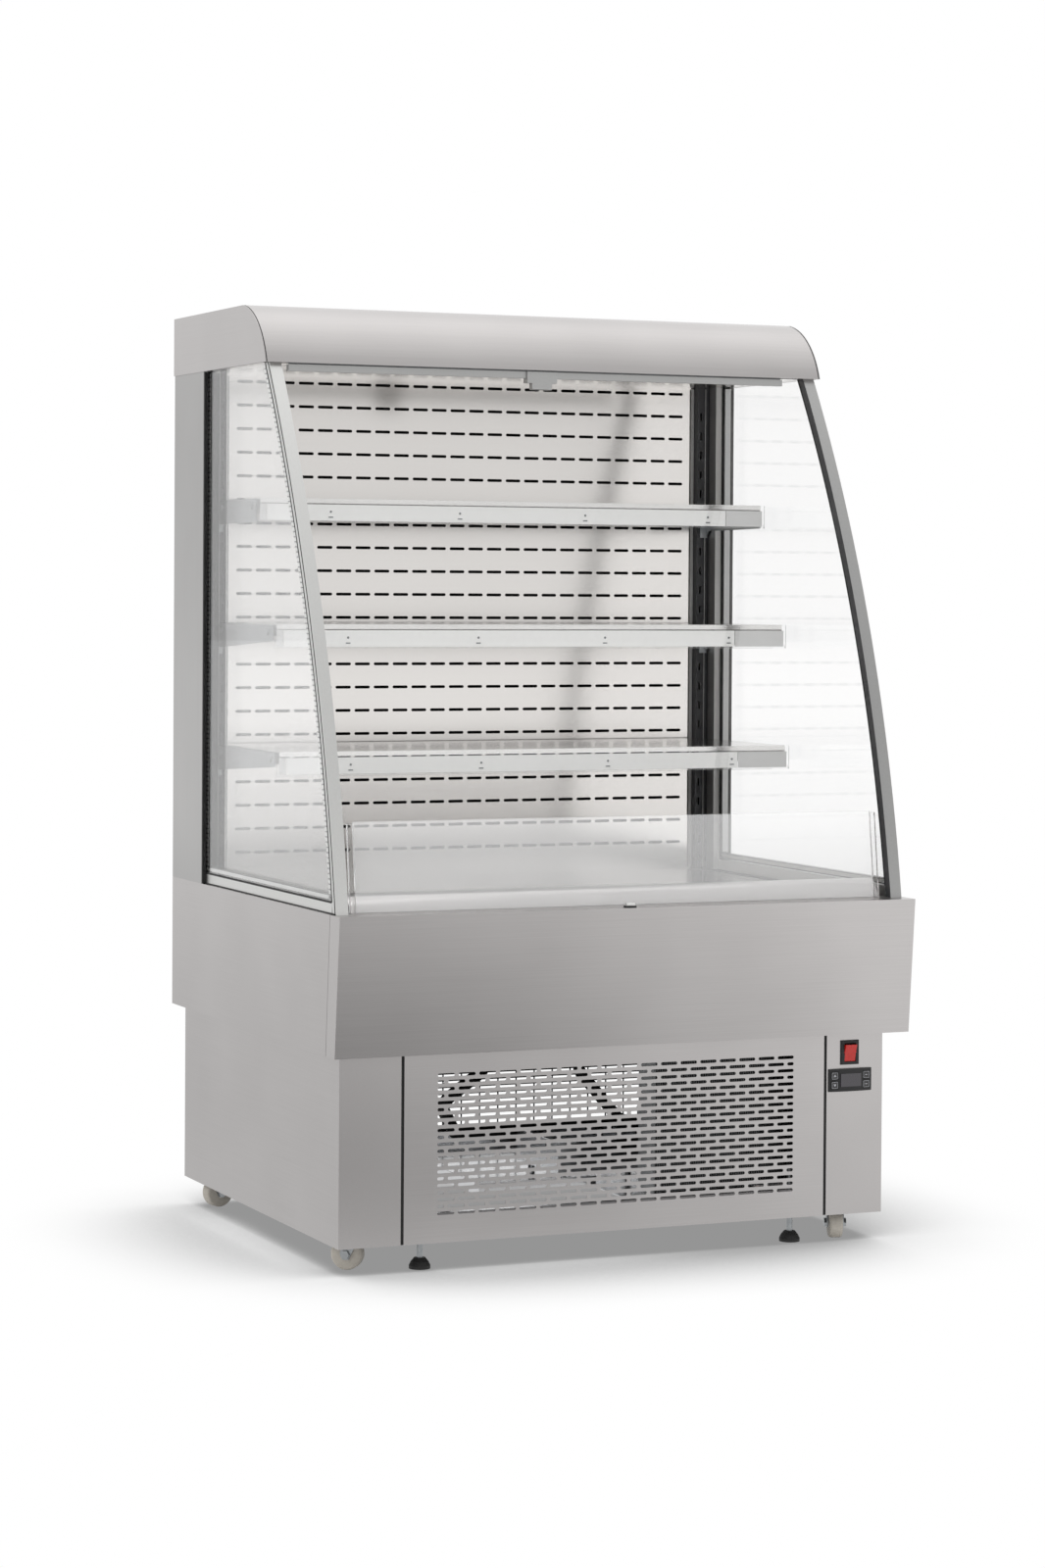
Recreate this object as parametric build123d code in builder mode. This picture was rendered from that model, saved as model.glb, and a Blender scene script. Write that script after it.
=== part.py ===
from build123d import *
from math import atan2, cos, degrees, pi, sin, sqrt
import os

# Open multideck display fridge, in millimetres.
# +X is right seen from the front, -Y is the front, +Z is up.
# The origin is on the floor, under the middle of the cabinet.

os.makedirs("parts", exist_ok=True)

# ---------------------------------------------------------------- driving sizes
cabinet_depth = 822.0
tub_width = 1000.0
canopy_width = 1004.0
base_width = 951.6
top_height = 1525.0
canopy_height = 98.0
canopy_depth = 475.0
nose_depth = 112.0
tub_top = 564.0
tub_bottom = 345.0
front_lean = 19.3
corner_return_top = 42.0
corner_return_bottom = 39.0
base_depth = 758.8
skirt_height = 44.5

sheet = 1.2
seam = 1.0
face_gap = 0.3

# castors and feet
wheel_radius = 25.0
wheel_width = 22.0
castor_height = 72.0
castor_trail = 20.0
castor_x = 418.0
castor_front_inset = 57.8
castor_rear_inset = 63.0
axle_radius = 4.0
pin_radius = 5.0
running_gap = 0.06
foot_x = 326.0
foot_pad_radius = 17.0
foot_pad_height = 17.0
foot_stem_radius = 5.0

# base frame
tube = 25.0
tube_wall = 1.5
gusset = 3.0
front_rail_setback = 24.3
rear_rail_inset = 16.5
tray_left = -150.0
tray_front_left_y = -130.0
front_rail_height = 12.0

# grille
grille_width = 735.8
grille_slot_length = 29.0
grille_slot_height = 5.2
grille_slot_pitch = 35.0
grille_row_pitch = 10.8
grille_columns = 18
grille_rows = 21
grille_lowest_row = 90.6
grille_fold = 15.0
grille_pin_x = 340.0
grille_pin_radius = 3.0
grille_pin_reach = 31.0

# upper cabinet
glass_arc_radius = 2303.0
glass_top_y = -56.7
glass_bottom_y = -377.3
glass_recess = 7.0
pane = 4.0
cavity = 12.0
profile_width = 20.0
profile_depth = 16.0
bottom_profile_height = 18.0
pillar_depth = 157.0
back_panel_y = 302.0
back_panel_half = 439.0
back_slot_length = 28.0
back_slot_height = 5.0
back_slot_pitch = 35.2
back_row_pitch = 40.2
back_columns = 24
back_rows = 21
back_top_row = 1415.5
upright_y = 288.0
upright_inner = 442.0
upright_slot_pitch = 34.5

# shelves, from the top one down
shelf_names = ["shelf_top", "shelf_middle", "shelf_bottom"]
shelf_rail_y = [64.0, -20.0, -35.0]
shelf_bracket_front = [36.0, 24.0, 21.0]
shelf_lowest = 798.5
shelf_steps = 6
shelf_flange = 8.0
shelf_side_flange = 20.0
rail_half = 463.0
rail_height = 40.0
rail_depth = 5.5
bracket_rear_height = 40.0
bracket_plate = 2.0

# riser glass and air return
riser_height = 704.0
riser_top_y = -340.0
riser_bottom_y = -357.0
riser_half = 453.0
riser_thickness = 5.0
lip_radius = 22.0
lip_front_y = -352.0

# night blind
blind_centre = -11.0
blind_half = 447.0
blind_y = -45.0
blind_travel = 885.0
bar_size = 11.0
bar_top = 1425.0
roller_radius = 18.0
roller_height = 1453.0
film = 0.6
handle_width = 54.0
handle_drop = 19.0

# controls
switch_x = 414.7
switch_z = 310.0
switch_width = 33.0
switch_height = 40.0
controller_x = 415.3
controller_z = 265.0
controller_width = 78.5
controller_height = 37.0
key_width = 12.6
key_height = 12.6
key_gap = 0.4
key_proud = 0.6

# ---------------------------------------------------------------- derived levels
rear_y = cabinet_depth / 2
front_y = -cabinet_depth / 2
tub_half = tub_width / 2
base_half = base_width / 2
canopy_half = canopy_width / 2
canopy_bottom = top_height - canopy_height
nose_y = rear_y - canopy_depth
base_front_y = rear_y - base_depth
front_bottom_y = front_y + front_lean
glass_outer = tub_half - glass_recess
glass_inner = glass_outer - 2 * pane - cavity
pillar_front_y = rear_y - pillar_depth
shelf_pitch = shelf_steps * upright_slot_pitch
shelf_tops = [shelf_lowest + shelf_pitch * step for step in (2, 1, 0)]
castor_front_y = base_front_y + castor_front_inset
castor_rear_y = rear_y - castor_rear_inset
foot_y = base_front_y + sheet + front_rail_setback - 1 + tube / 2
liner_floor = tub_bottom + 41.0
liner_half = tub_half - 29.5
liner_rear_y = rear_y - 41.5
deck_top = tub_top - 2.0
deck_thickness = 12.0


def slab(x0, x1, y0, y1, z0, z1, mode=Mode.ADD):
    """A box between two corners, in the block that calls it."""
    with Locations(((x0 + x1) / 2, (y0 + y1) / 2, (z0 + z1) / 2)):
        Box(x1 - x0, y1 - y0, z1 - z0, mode=mode)


def pierced(plane, width, height, middle, holes):
    """A flat face on a plane, with each hole outline at its own place."""
    outline = Wire.make_rect(width, height).moved(Location((*middle, 0)))
    return plane.location * Face(outline, [shape.moved(Location((x, y, 0))) for shape, x, y in holes])


def thicken(face, plane):
    """Pull a pierced face to sheet thickness along its plane's normal."""
    extrude(face, amount=sheet, dir=plane.z_dir, clean=False)


def grid(middle, pitch_x, pitch_y, columns, rows):
    """Places of a grid of holes round its middle."""
    for column in range(columns):
        for row in range(rows):
            x = middle[0] + (column - (columns - 1) / 2) * pitch_x
            yield x, middle[1] + (row - (rows - 1) / 2) * pitch_y


def keep_group(solids, name):
    """Label several touching solids as one sub-part and write it."""
    group = Compound(children=list(solids))
    group.label = name
    export_step(group, f"parts/{name}.step")


def keep(block, name):
    """Label a finished sub-part and write it."""
    block.part.label = name
    export_step(block.part, f"parts/{name}.step")


# ---------------------------------------------------------------- base frame
# Box-tube posts and rails, a gusset over each castor and the machine tray.
rail_front_y = base_front_y + sheet + front_rail_setback - 1
rail_rear_y = rear_y - rear_rail_inset
frame_half = base_half - sheet - face_gap
frame_low = castor_height + gusset
frame_top = tub_bottom
grille_pin_z = (frame_low + front_rail_height / 2, frame_top - tube / 2)


def box_tube(x0, x1, y0, y1, z0, z1):
    """One hollow square tube, open at both ends of its longest side."""
    spans = [x1 - x0, y1 - y0, z1 - z0]
    run = spans.index(max(spans))
    inset = [tube_wall, tube_wall, tube_wall]
    inset[run] = 0
    slab(x0, x1, y0, y1, z0, z1)
    slab(
        x0 + inset[0], x1 - inset[0], y0 + inset[1], y1 - inset[1], z0 + inset[2], z1 - inset[2],
        mode=Mode.SUBTRACT,
    )


frame_tubes = []
for side in (-1, 1):
    inner, outer = sorted((side * (frame_half - tube), side * frame_half))
    for y0, y1 in ((rail_front_y, rail_front_y + tube), (rail_rear_y - tube, rail_rear_y)):
        frame_tubes.append((inner, outer, y0, y1, frame_low + tube, frame_top - tube))
    for z0 in (frame_low, frame_top - tube):
        frame_tubes.append((inner, outer, rail_front_y, rail_rear_y, z0, z0 + tube))
for y0, z0, height in (
    (rail_front_y, frame_low, front_rail_height),
    (rail_front_y, frame_top - tube, tube),
    (rail_rear_y - tube, frame_low, tube),
    (rail_rear_y - tube, frame_top - tube, tube),
):
    frame_tubes.append((tube - frame_half, frame_half - tube, y0, y0 + tube, z0, z0 + height))

tube_solids = []
for corners in frame_tubes:
    with BuildPart() as frame_tube:
        box_tube(*corners)
        for side in (-1, 1):
            with Locations((side * foot_x, foot_y, frame_low + tube / 2)):
                Cylinder(foot_stem_radius + running_gap, 3 * tube, mode=Mode.SUBTRACT)
            for pin_z in grille_pin_z:
                with Locations(Location((side * grille_pin_x, rail_front_y, pin_z), (90, 0, 0))):
                    Cylinder(grille_pin_radius + running_gap, tube, mode=Mode.SUBTRACT)
    tube_solids.extend(frame_tube.part.solids())

gusset_reach = 100.0
gusset_solids = []
for side in (-1, 1):
    for y0, y1 in (
        (rail_front_y, rail_front_y + gusset_reach),
        (rail_rear_y - gusset_reach, rail_rear_y),
    ):
        inner, outer = sorted((side * (frame_half - gusset_reach), side * frame_half))
        with BuildPart() as corner_gusset:
            slab(inner, outer, y0, y1, castor_height, castor_height + gusset)
            with Locations((side * castor_x, castor_front_y if y0 < 0 else castor_rear_y, castor_height)):
                Cylinder(pin_radius + running_gap, 3 * gusset, mode=Mode.SUBTRACT)
        gusset_solids.extend(corner_gusset.part.solids())

tray_right = frame_half - tube
tray_front_y = rail_front_y + tube
tray_rear_y = rail_rear_y - tube
tray_fold = 20.0
tray_sheet = 1.5
tray_step_x = 60.0
with BuildPart() as machine_tray:
    slab(tray_left, tray_right, tray_front_left_y, tray_rear_y, frame_low, frame_low + tray_sheet)
    slab(tray_step_x, tray_right, tray_front_y, tray_front_left_y, frame_low, frame_low + tray_sheet)
    slab(
        tray_left, tray_step_x, tray_front_left_y, tray_front_left_y + tray_sheet,
        frame_low, frame_low + tray_fold,
    )
    slab(tray_left, tray_right, tray_rear_y - tray_sheet, tray_rear_y, frame_low, frame_low + tray_fold)
    slab(
        tray_left, tray_left + tray_sheet, tray_front_left_y, tray_rear_y,
        frame_low, frame_low + tray_fold,
    )
    for y in (castor_front_y, castor_rear_y):
        with Locations((castor_x, y, frame_low)):
            Cylinder(12, 3 * tray_sheet, mode=Mode.SUBTRACT)

keep_group(tube_solids + gusset_solids + machine_tray.part.solids(), "base_frame")

# ---------------------------------------------------------------- base panels
strip_inner = grille_width / 2 + 5.0
strip_fold = 12.0
switch_body_width = 26.6
switch_body_height = 35.6
controller_body_width = 66.0
controller_body_height = 28.5


def base_side(side, name):
    """Side sheet, the front strip round its corner and the fold at the grille's seam."""
    with BuildPart() as side_sheet:
        x0, x1 = sorted((side * base_half, side * (base_half - sheet)))
        slab(x0, x1, base_front_y, rear_y, skirt_height, tub_bottom)
    with BuildPart() as strip:
        x0, x1 = sorted((side * (base_half - sheet), side * (strip_inner + sheet)))
        slab(x0, x1, base_front_y, base_front_y + sheet, skirt_height, tub_bottom)
        if side > 0:
            for x, z, width, height in (
                (switch_x, switch_z, switch_body_width, switch_body_height),
                (controller_x, controller_z, controller_body_width, controller_body_height),
            ):
                slab(
                    x - width / 2 - face_gap, x + width / 2 + face_gap,
                    base_front_y - 1, base_front_y + sheet + 1,
                    z - height / 2 - face_gap, z + height / 2 + face_gap, mode=Mode.SUBTRACT,
                )
    with BuildPart() as seam_fold:
        x0, x1 = sorted((side * strip_inner, side * (strip_inner + sheet)))
        slab(x0, x1, base_front_y, base_front_y + strip_fold, skirt_height, tub_bottom)
    pieces = side_sheet.part.solids() + strip.part.solids() + seam_fold.part.solids()
    keep_group(pieces, name)


base_side(-1, "base_side_left")
base_side(1, "base_side_right")

# Slotted grille: full rows and rows set half a pitch over, which end in half slots.
grille_centre_z = grille_lowest_row + grille_row_pitch * (grille_rows - 1) / 2
grille_top = tub_bottom - 1.5
half_slot = grille_slot_length - grille_slot_pitch / 2
grille_edge = ((grille_columns - 1) * grille_slot_pitch + grille_slot_length) / 2
full_rows = (grille_rows + 1) // 2
grille_middle = (0, grille_centre_z)
full_slot = SlotOverall(grille_slot_length, grille_slot_height).wire()
end_slot = SlotOverall(half_slot, grille_slot_height).wire()
grille_holes = []
for x, z in grid(grille_middle, grille_slot_pitch, 2 * grille_row_pitch, grille_columns, full_rows):
    grille_holes.append((full_slot, x, z))
for x, z in grid(grille_middle, grille_slot_pitch, 2 * grille_row_pitch, grille_columns - 1, full_rows - 1):
    grille_holes.append((full_slot, x, z))
for x, z in grid(grille_middle, 2 * grille_edge - half_slot, 2 * grille_row_pitch, 2, full_rows - 1):
    grille_holes.append((end_slot, x, z))
grille_plane = Plane.XZ.offset(-base_front_y - sheet)
grille_height = grille_top - skirt_height
with BuildPart() as grille_sheet:
    grille_face = pierced(
        grille_plane, grille_width, grille_height, (0, skirt_height + grille_height / 2), grille_holes
    )
    thicken(grille_face, grille_plane)
grille_solids = list(grille_sheet.part.solids())
for side in (-1, 1):
    with BuildPart() as grille_return:
        x0, x1 = sorted((side * grille_width / 2, side * (grille_width / 2 - sheet)))
        slab(x0, x1, base_front_y + sheet, base_front_y + grille_fold, skirt_height, grille_top)
    grille_solids.extend(grille_return.part.solids())
with BuildPart() as grille_pins:
    with BuildSketch(grille_plane):
        for pin_z in grille_pin_z:
            with Locations((-grille_pin_x, pin_z), (grille_pin_x, pin_z)):
                Circle(grille_pin_radius)
    extrude(amount=-grille_pin_reach)
grille_solids.extend(grille_pins.part.solids())
keep_group(grille_solids, "grille_panel")

# Rear guard, set in from the back edge of the sides, with the cable gland beside it.
guard_y = rear_y - 15.0
guard_pitch_x = 35.4
guard_pitch_z = 12.0
guard_bar = 2.4
guard_columns = 24
guard_rows = 19
guard_centre_z = 218.0
gland_x = 440.0
gland_z = 120.0
gland_radius = 11.0
gland_bore = 4.5
gland_out = 13.0
gland_in = 9.0
guard_cell = Wire.make_rect(guard_pitch_x - guard_bar, guard_pitch_z - guard_bar)
guard_holes = [
    (guard_cell, x, z)
    for x, z in grid((0, guard_centre_z), guard_pitch_x, guard_pitch_z, guard_columns, guard_rows)
]
guard_holes.append((Wire.make_circle(gland_radius - 3), gland_x, gland_z))
guard_low = skirt_height + 5
guard_height = tub_bottom - seam - guard_low
guard_plane = Plane.XZ.offset(-guard_y)
with BuildPart() as rear_guard_sheet:
    guard_face = pierced(
        guard_plane, 2 * frame_half, guard_height, (0, guard_low + guard_height / 2), guard_holes
    )
    thicken(guard_face, guard_plane)
with BuildPart() as gland:
    with BuildSketch(Plane.XZ.offset(-guard_y)):
        with Locations((gland_x, gland_z)):
            RegularPolygon(gland_radius, 6)
            Circle(gland_bore, mode=Mode.SUBTRACT)
    extrude(amount=-gland_out)
    with BuildSketch(Plane.XZ.offset(-guard_y)):
        with Locations((gland_x, gland_z)):
            Circle(gland_radius - 3)
            Circle(gland_bore, mode=Mode.SUBTRACT)
    extrude(amount=gland_in)
keep_group(rear_guard_sheet.part.solids() + gland.part.solids(), "rear_guard")

# ---------------------------------------------------------------- castors and feet
# Trail directions are those of the castors at rest, so each fork has its own turn.
plate_half = 31.0
plate_thickness = 3.5
plate_screw_pitch = 48.0
plate_low = castor_height - plate_thickness
crown_top = plate_low - 0.5
crown_thickness = 6.0
crown_radius = 20.0
fork_inner = wheel_width / 2 + 0.7
fork_outer = fork_inner + 2.5
pin_head_radius = 7.3
castors = [
    ("fl", -castor_x, castor_front_y, -0.79, 0.61),
    ("fr", castor_x, castor_front_y, -0.348, -0.937),
    ("rl", -castor_x, castor_rear_y, -0.985, -0.17),
    ("rr", castor_x, castor_rear_y, 0.94, 0.34),
]
plate_solids = []
for tag, x, y, trail_x, trail_y in castors:
    with BuildPart() as castor_plate:
        with Locations((x, y, castor_height - plate_thickness / 2)):
            Box(2 * plate_half, 2 * plate_half, plate_thickness)
            Cylinder(pin_radius + running_gap, 2 * plate_thickness, mode=Mode.SUBTRACT)
        with BuildSketch(Plane.XY.offset(plate_low)):
            with Locations((x, y)):
                with GridLocations(plate_screw_pitch, plate_screw_pitch, 2, 2):
                    RegularPolygon(5, 6)
        extrude(amount=-3)
    plate_solids.extend(castor_plate.part.solids())
    turn = Location((x, y, 0), (0, 0, degrees(atan2(trail_y, trail_x))))

    with BuildPart() as castor_fork:
        with BuildSketch(Plane.XY.offset(crown_top)):
            Circle(crown_radius)
        extrude(amount=-crown_thickness)
        for side in (-1, 1):
            with BuildSketch(Plane.XZ.offset(-side * (fork_inner + fork_outer) / 2)):
                with BuildLine():
                    Polyline(
                        (-11, crown_top - 1), (17, crown_top - 1), (castor_trail + 9, wheel_radius + 2),
                        (castor_trail + 4, wheel_radius - 8), (castor_trail - 5, wheel_radius - 8),
                        (castor_trail - 9, wheel_radius), close=True,
                    )
                make_face()
            extrude(amount=(fork_outer - fork_inner) / 2, both=True)
        with BuildSketch(Plane.XY.offset(crown_top - crown_thickness / 2)):
            Circle(pin_radius)
        extrude(amount=castor_height + gusset + 0.3 - crown_top + crown_thickness / 2)
        with BuildSketch(Plane.XY.offset(castor_height + gusset + 0.3)):
            Circle(pin_head_radius)
        extrude(amount=3)
        with BuildSketch(Plane.XZ):
            with Locations((castor_trail, wheel_radius)):
                Circle(axle_radius)
        extrude(amount=fork_outer, both=True)
        for side in (-1, 1):
            with BuildSketch(Plane.XZ.offset(-side * fork_outer)):
                with Locations((castor_trail, wheel_radius)):
                    RegularPolygon(7.5, 6)
            extrude(amount=-side * 4)
    fork = turn * castor_fork.part
    fork.label = f"castor_fork_{tag}"
    export_step(fork, f"parts/castor_fork_{tag}.step")

    with BuildPart() as castor_wheel:
        with BuildSketch(Plane.XZ):
            with Locations((castor_trail, wheel_radius)):
                Circle(wheel_radius)
                Circle(axle_radius + running_gap, mode=Mode.SUBTRACT)
        extrude(amount=wheel_width / 2, both=True)
        fillet(castor_wheel.edges().filter_by(GeomType.CIRCLE).sort_by(SortBy.RADIUS)[-2:], 4)
    wheel = turn * castor_wheel.part
    wheel.label = f"castor_wheel_{tag}"
    export_step(wheel, f"parts/castor_wheel_{tag}.step")
keep_group(plate_solids, "castor_plates")

foot_nut_z = 50.0
foot_nut = 8.0
foot_stem_top = 118.0
for side, name in ((-1, "foot_left"), (1, "foot_right")):
    with BuildPart() as foot:
        with BuildSketch(Plane.XZ):
            with BuildLine():
                Polyline(
                    (0, 0), (foot_pad_radius, 0), (foot_pad_radius, 5), (foot_pad_radius - 3, 11),
                    (foot_pad_radius - 8, foot_pad_height), (foot_stem_radius, foot_pad_height),
                    (foot_stem_radius, foot_stem_top), (0, foot_stem_top), close=True,
                )
            make_face()
        revolve(axis=Axis.Z)
        with BuildSketch(Plane.XY.offset(foot_nut_z)):
            RegularPolygon(9.8, 6)
        extrude(amount=foot_nut)
    placed = Location((side * foot_x, foot_y, 0)) * foot.part
    placed.label = name
    export_step(placed, f"parts/{name}.step")

# ---------------------------------------------------------------- tub
panel_inner_top = front_y + sheet
ledge_depth = 63.0
under_return = base_front_y - 1.0


def lean_y(z, inset=0.0):
    """Front face of the leaning panel at a height, moved inwards by an inset."""
    return front_y + front_lean * (tub_top - z) / (tub_top - tub_bottom) + inset


with BuildPart() as front_panel:
    with BuildSketch(Plane.YZ):
        with BuildLine():
            Polyline(
                (lean_y(tub_top), tub_top), (front_y + ledge_depth, tub_top),
                (front_y + ledge_depth, tub_top - sheet), (lean_y(tub_top - sheet, sheet), tub_top - sheet),
                (lean_y(tub_bottom + sheet, sheet), tub_bottom + sheet), (under_return, tub_bottom + sheet),
                (under_return, tub_bottom), (lean_y(tub_bottom), tub_bottom), close=True,
            )
        make_face()
    extrude(amount=tub_half - sheet, both=True)
    for side in (-1, 1):
        with BuildSketch(Plane.YZ.offset(side * tub_half)):
            with BuildLine():
                Polyline(
                    (lean_y(tub_top), tub_top), (lean_y(tub_top) + corner_return_top, tub_top),
                    (lean_y(tub_bottom) + corner_return_bottom, tub_bottom), (lean_y(tub_bottom), tub_bottom),
                    close=True,
                )
            make_face()
        extrude(amount=-side * sheet)
keep(front_panel, "front_panel")

tub_return = 26.5
for side, name in ((-1, "tub_side_left"), (1, "tub_side_right")):
    with BuildPart() as tub_side:
        with BuildSketch(Plane.YZ.offset(side * tub_half)):
            with BuildLine():
                Polyline(
                    (lean_y(tub_top) + corner_return_top + seam, tub_top), (rear_y, tub_top),
                    (rear_y, tub_bottom), (lean_y(tub_bottom) + corner_return_bottom + seam, tub_bottom),
                    close=True,
                )
            make_face()
        extrude(amount=-side * sheet)
        x0, x1 = sorted((side * tub_half, side * (tub_half - tub_return)))
        y0 = front_y + ledge_depth + 1
        slab(x0, x1, y0, rear_y - sheet - face_gap, tub_top - sheet, tub_top)
        slab(x0, x1, under_return + seam, rear_y - sheet - face_gap, tub_bottom, tub_bottom + sheet)
    keep(tub_side, name)

# Liner of separate welded sheets, with the ledges the deck trays lie on.
liner_front_y = front_y + ledge_depth - 2
liner_top = tub_top - sheet - face_gap
liner = 1.0
pipe_hole = (-60.0, 215.0)
pipe_hole_radius = 24.0
drain = (120.0, -30.0)
drain_radius = 11.0
liner_sheets = [
    (-liner_half, liner_half, liner_front_y, liner_rear_y, liner_floor, liner_floor + liner),
    (-liner_half, liner_half, liner_front_y, liner_front_y + liner, liner_floor + liner, liner_top),
    (-liner_half, liner_half, liner_rear_y - liner, liner_rear_y, liner_floor + liner, canopy_bottom - 1),
]
for side in (-1, 1):
    x0, x1 = sorted((side * liner_half, side * (liner_half - liner)))
    liner_sheets.append(
        (x0, x1, liner_front_y + liner, liner_rear_y - liner, liner_floor + liner, liner_top)
    )
deck_low = deck_top - deck_thickness
deck_front_y = -317.0
deck_rear_y = back_panel_y - 1.0
for y0 in (deck_front_y - 6, deck_rear_y - 22):
    liner_sheets.append(
        (liner - liner_half, liner_half - liner, y0, y0 + 26, deck_low - sheet, deck_low)
    )
liner_solids = []
for index, corners in enumerate(liner_sheets):
    with BuildPart() as liner_sheet:
        slab(*corners)
        if index == 0:
            with Locations((pipe_hole[0], pipe_hole[1], liner_floor)):
                Cylinder(pipe_hole_radius, 10, mode=Mode.SUBTRACT)
            with Locations((drain[0], drain[1], liner_floor)):
                Cylinder(drain_radius + 0.3, 10, mode=Mode.SUBTRACT)
    liner_solids.extend(liner_sheet.part.solids())
keep_group(liner_solids, "tub_liner")

# Three folded deck trays side by side.
deck_half = 455.0
deck_count = 3
deck_width = 2 * deck_half / deck_count
deck_solids = []
for index in range(deck_count):
    x0 = -deck_half + index * deck_width + 0.5
    x1 = x0 + deck_width - 1.0
    with BuildPart() as deck_tray:
        slab(x0, x1, deck_front_y, deck_rear_y, deck_low, deck_top)
        slab(x0 + sheet, x1 - sheet, deck_front_y + sheet, deck_rear_y - sheet, deck_low - 1,
             deck_top - sheet, mode=Mode.SUBTRACT)
    deck_solids.extend(deck_tray.part.solids())
keep_group(deck_solids, "deck_trays")

# Rolled air-return lip behind the riser glass.
lip_reach = 29.0
lip_centre_y = lip_front_y + 1 + lip_reach
lip_half = 462.0
with BuildPart() as air_return_lip:
    with BuildSketch(Plane.YZ):
        with BuildLine():
            outer = ThreePointArc(
                (lip_centre_y - lip_reach, tub_top),
                (lip_centre_y - lip_reach * sqrt(0.5), tub_top + lip_reach * sqrt(0.5)),
                (lip_centre_y, tub_top + lip_reach),
            )
            Line(outer @ 1, (lip_centre_y, tub_top - 12))
            Line((lip_centre_y, tub_top - 12), (lip_centre_y - sheet, tub_top - 12))
            Line((lip_centre_y - sheet, tub_top - 12), (lip_centre_y - sheet, tub_top + lip_reach - sheet))
            inner_reach = lip_reach - sheet
            inner = ThreePointArc(
                (lip_centre_y - sheet, tub_top + inner_reach),
                (lip_centre_y - inner_reach * sqrt(0.5), tub_top + inner_reach * sqrt(0.5)),
                (lip_centre_y - inner_reach, tub_top),
            )
            Line(inner @ 1, outer @ 0)
        make_face()
    extrude(amount=lip_half, both=True)
keep(air_return_lip, "air_return_lip")

with BuildPart() as riser_glass:
    with BuildSketch(Plane.YZ):
        with BuildLine():
            Polyline(
                (riser_bottom_y, tub_top), (riser_top_y, riser_height),
                (riser_top_y + riser_thickness, riser_height), (riser_bottom_y + riser_thickness, tub_top),
                close=True,
            )
        make_face()
    extrude(amount=riser_half, both=True)
keep(riser_glass, "riser_glass")

catch_x = -8.0
catch_y = -400.0
with BuildPart() as blind_catch:
    slab(catch_x - 9, catch_x + 9, catch_y - 5, catch_y + 5, tub_top, tub_top + 3)
    with BuildSketch(Plane.YZ.offset(catch_x - 7.5)):
        with BuildLine():
            Line((catch_y - 4.5, tub_top + 3), (catch_y + 4.5, tub_top + 3))
            ThreePointArc(
                (catch_y + 4.5, tub_top + 3), (catch_y, tub_top + 7.5), (catch_y - 4.5, tub_top + 3),
            )
        make_face()
    extrude(amount=15)
keep(blind_catch, "blind_catch")

# ---------------------------------------------------------------- upper cabinet
pillar_fold_x = 464.0
pillar_liner_x = 482.5
pillar_trim_y = pillar_front_y + 4.0
pillar_pocket_y = upright_y - 2.5
for side, name in ((-1, "pillar_left"), (1, "pillar_right")):
    with BuildPart() as pillar:
        for x0, x1, y0, y1 in (
            (tub_half - sheet, tub_half, pillar_front_y, rear_y),
            (glass_outer + face_gap, tub_half, pillar_front_y, pillar_front_y + sheet),
            (pillar_fold_x, glass_inner - face_gap, pillar_trim_y, pillar_trim_y + sheet),
            (pillar_fold_x, pillar_fold_x + sheet, pillar_trim_y, pillar_pocket_y),
            (pillar_fold_x, pillar_liner_x + sheet, pillar_pocket_y - sheet, pillar_pocket_y),
            (pillar_liner_x, pillar_liner_x + sheet, pillar_pocket_y - sheet, rear_y - 2),
            (pillar_liner_x, tub_half, rear_y - 2 - sheet, rear_y - 2),
        ):
            left, right = sorted((side * x0, side * x1))
            slab(left, right, y0, y1, tub_top, canopy_bottom)
    keep(pillar, name)

rear_half = tub_half - sheet - face_gap
with BuildPart() as rear_panel:
    slab(-rear_half, rear_half, rear_y - sheet, rear_y, tub_bottom, canopy_bottom)
keep(rear_panel, "rear_panel")

back_slot = SlotOverall(back_slot_length, back_slot_height).wire()
back_middle = (0, back_top_row - back_row_pitch * (back_rows - 1) / 2)
back_holes = [
    (back_slot, x, z) for x, z in grid(back_middle, back_slot_pitch, back_row_pitch, back_columns, back_rows)
]
back_height = canopy_bottom - deck_top
back_plane = Plane.XZ.offset(-back_panel_y - sheet)
with BuildPart() as back_sheet:
    back_face = pierced(
        back_plane, 2 * back_panel_half, back_height, (0, deck_top + back_height / 2), back_holes
    )
    thicken(back_face, back_plane)
back_solids = list(back_sheet.part.solids())
for side in (-1, 1):
    with BuildPart() as back_return:
        x0, x1 = sorted((side * back_panel_half, side * (back_panel_half - sheet)))
        slab(x0, x1, back_panel_y + sheet, back_panel_y + 20, deck_top, canopy_bottom)
    back_solids.extend(back_return.part.solids())
keep_group(back_solids, "back_panel")

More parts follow.
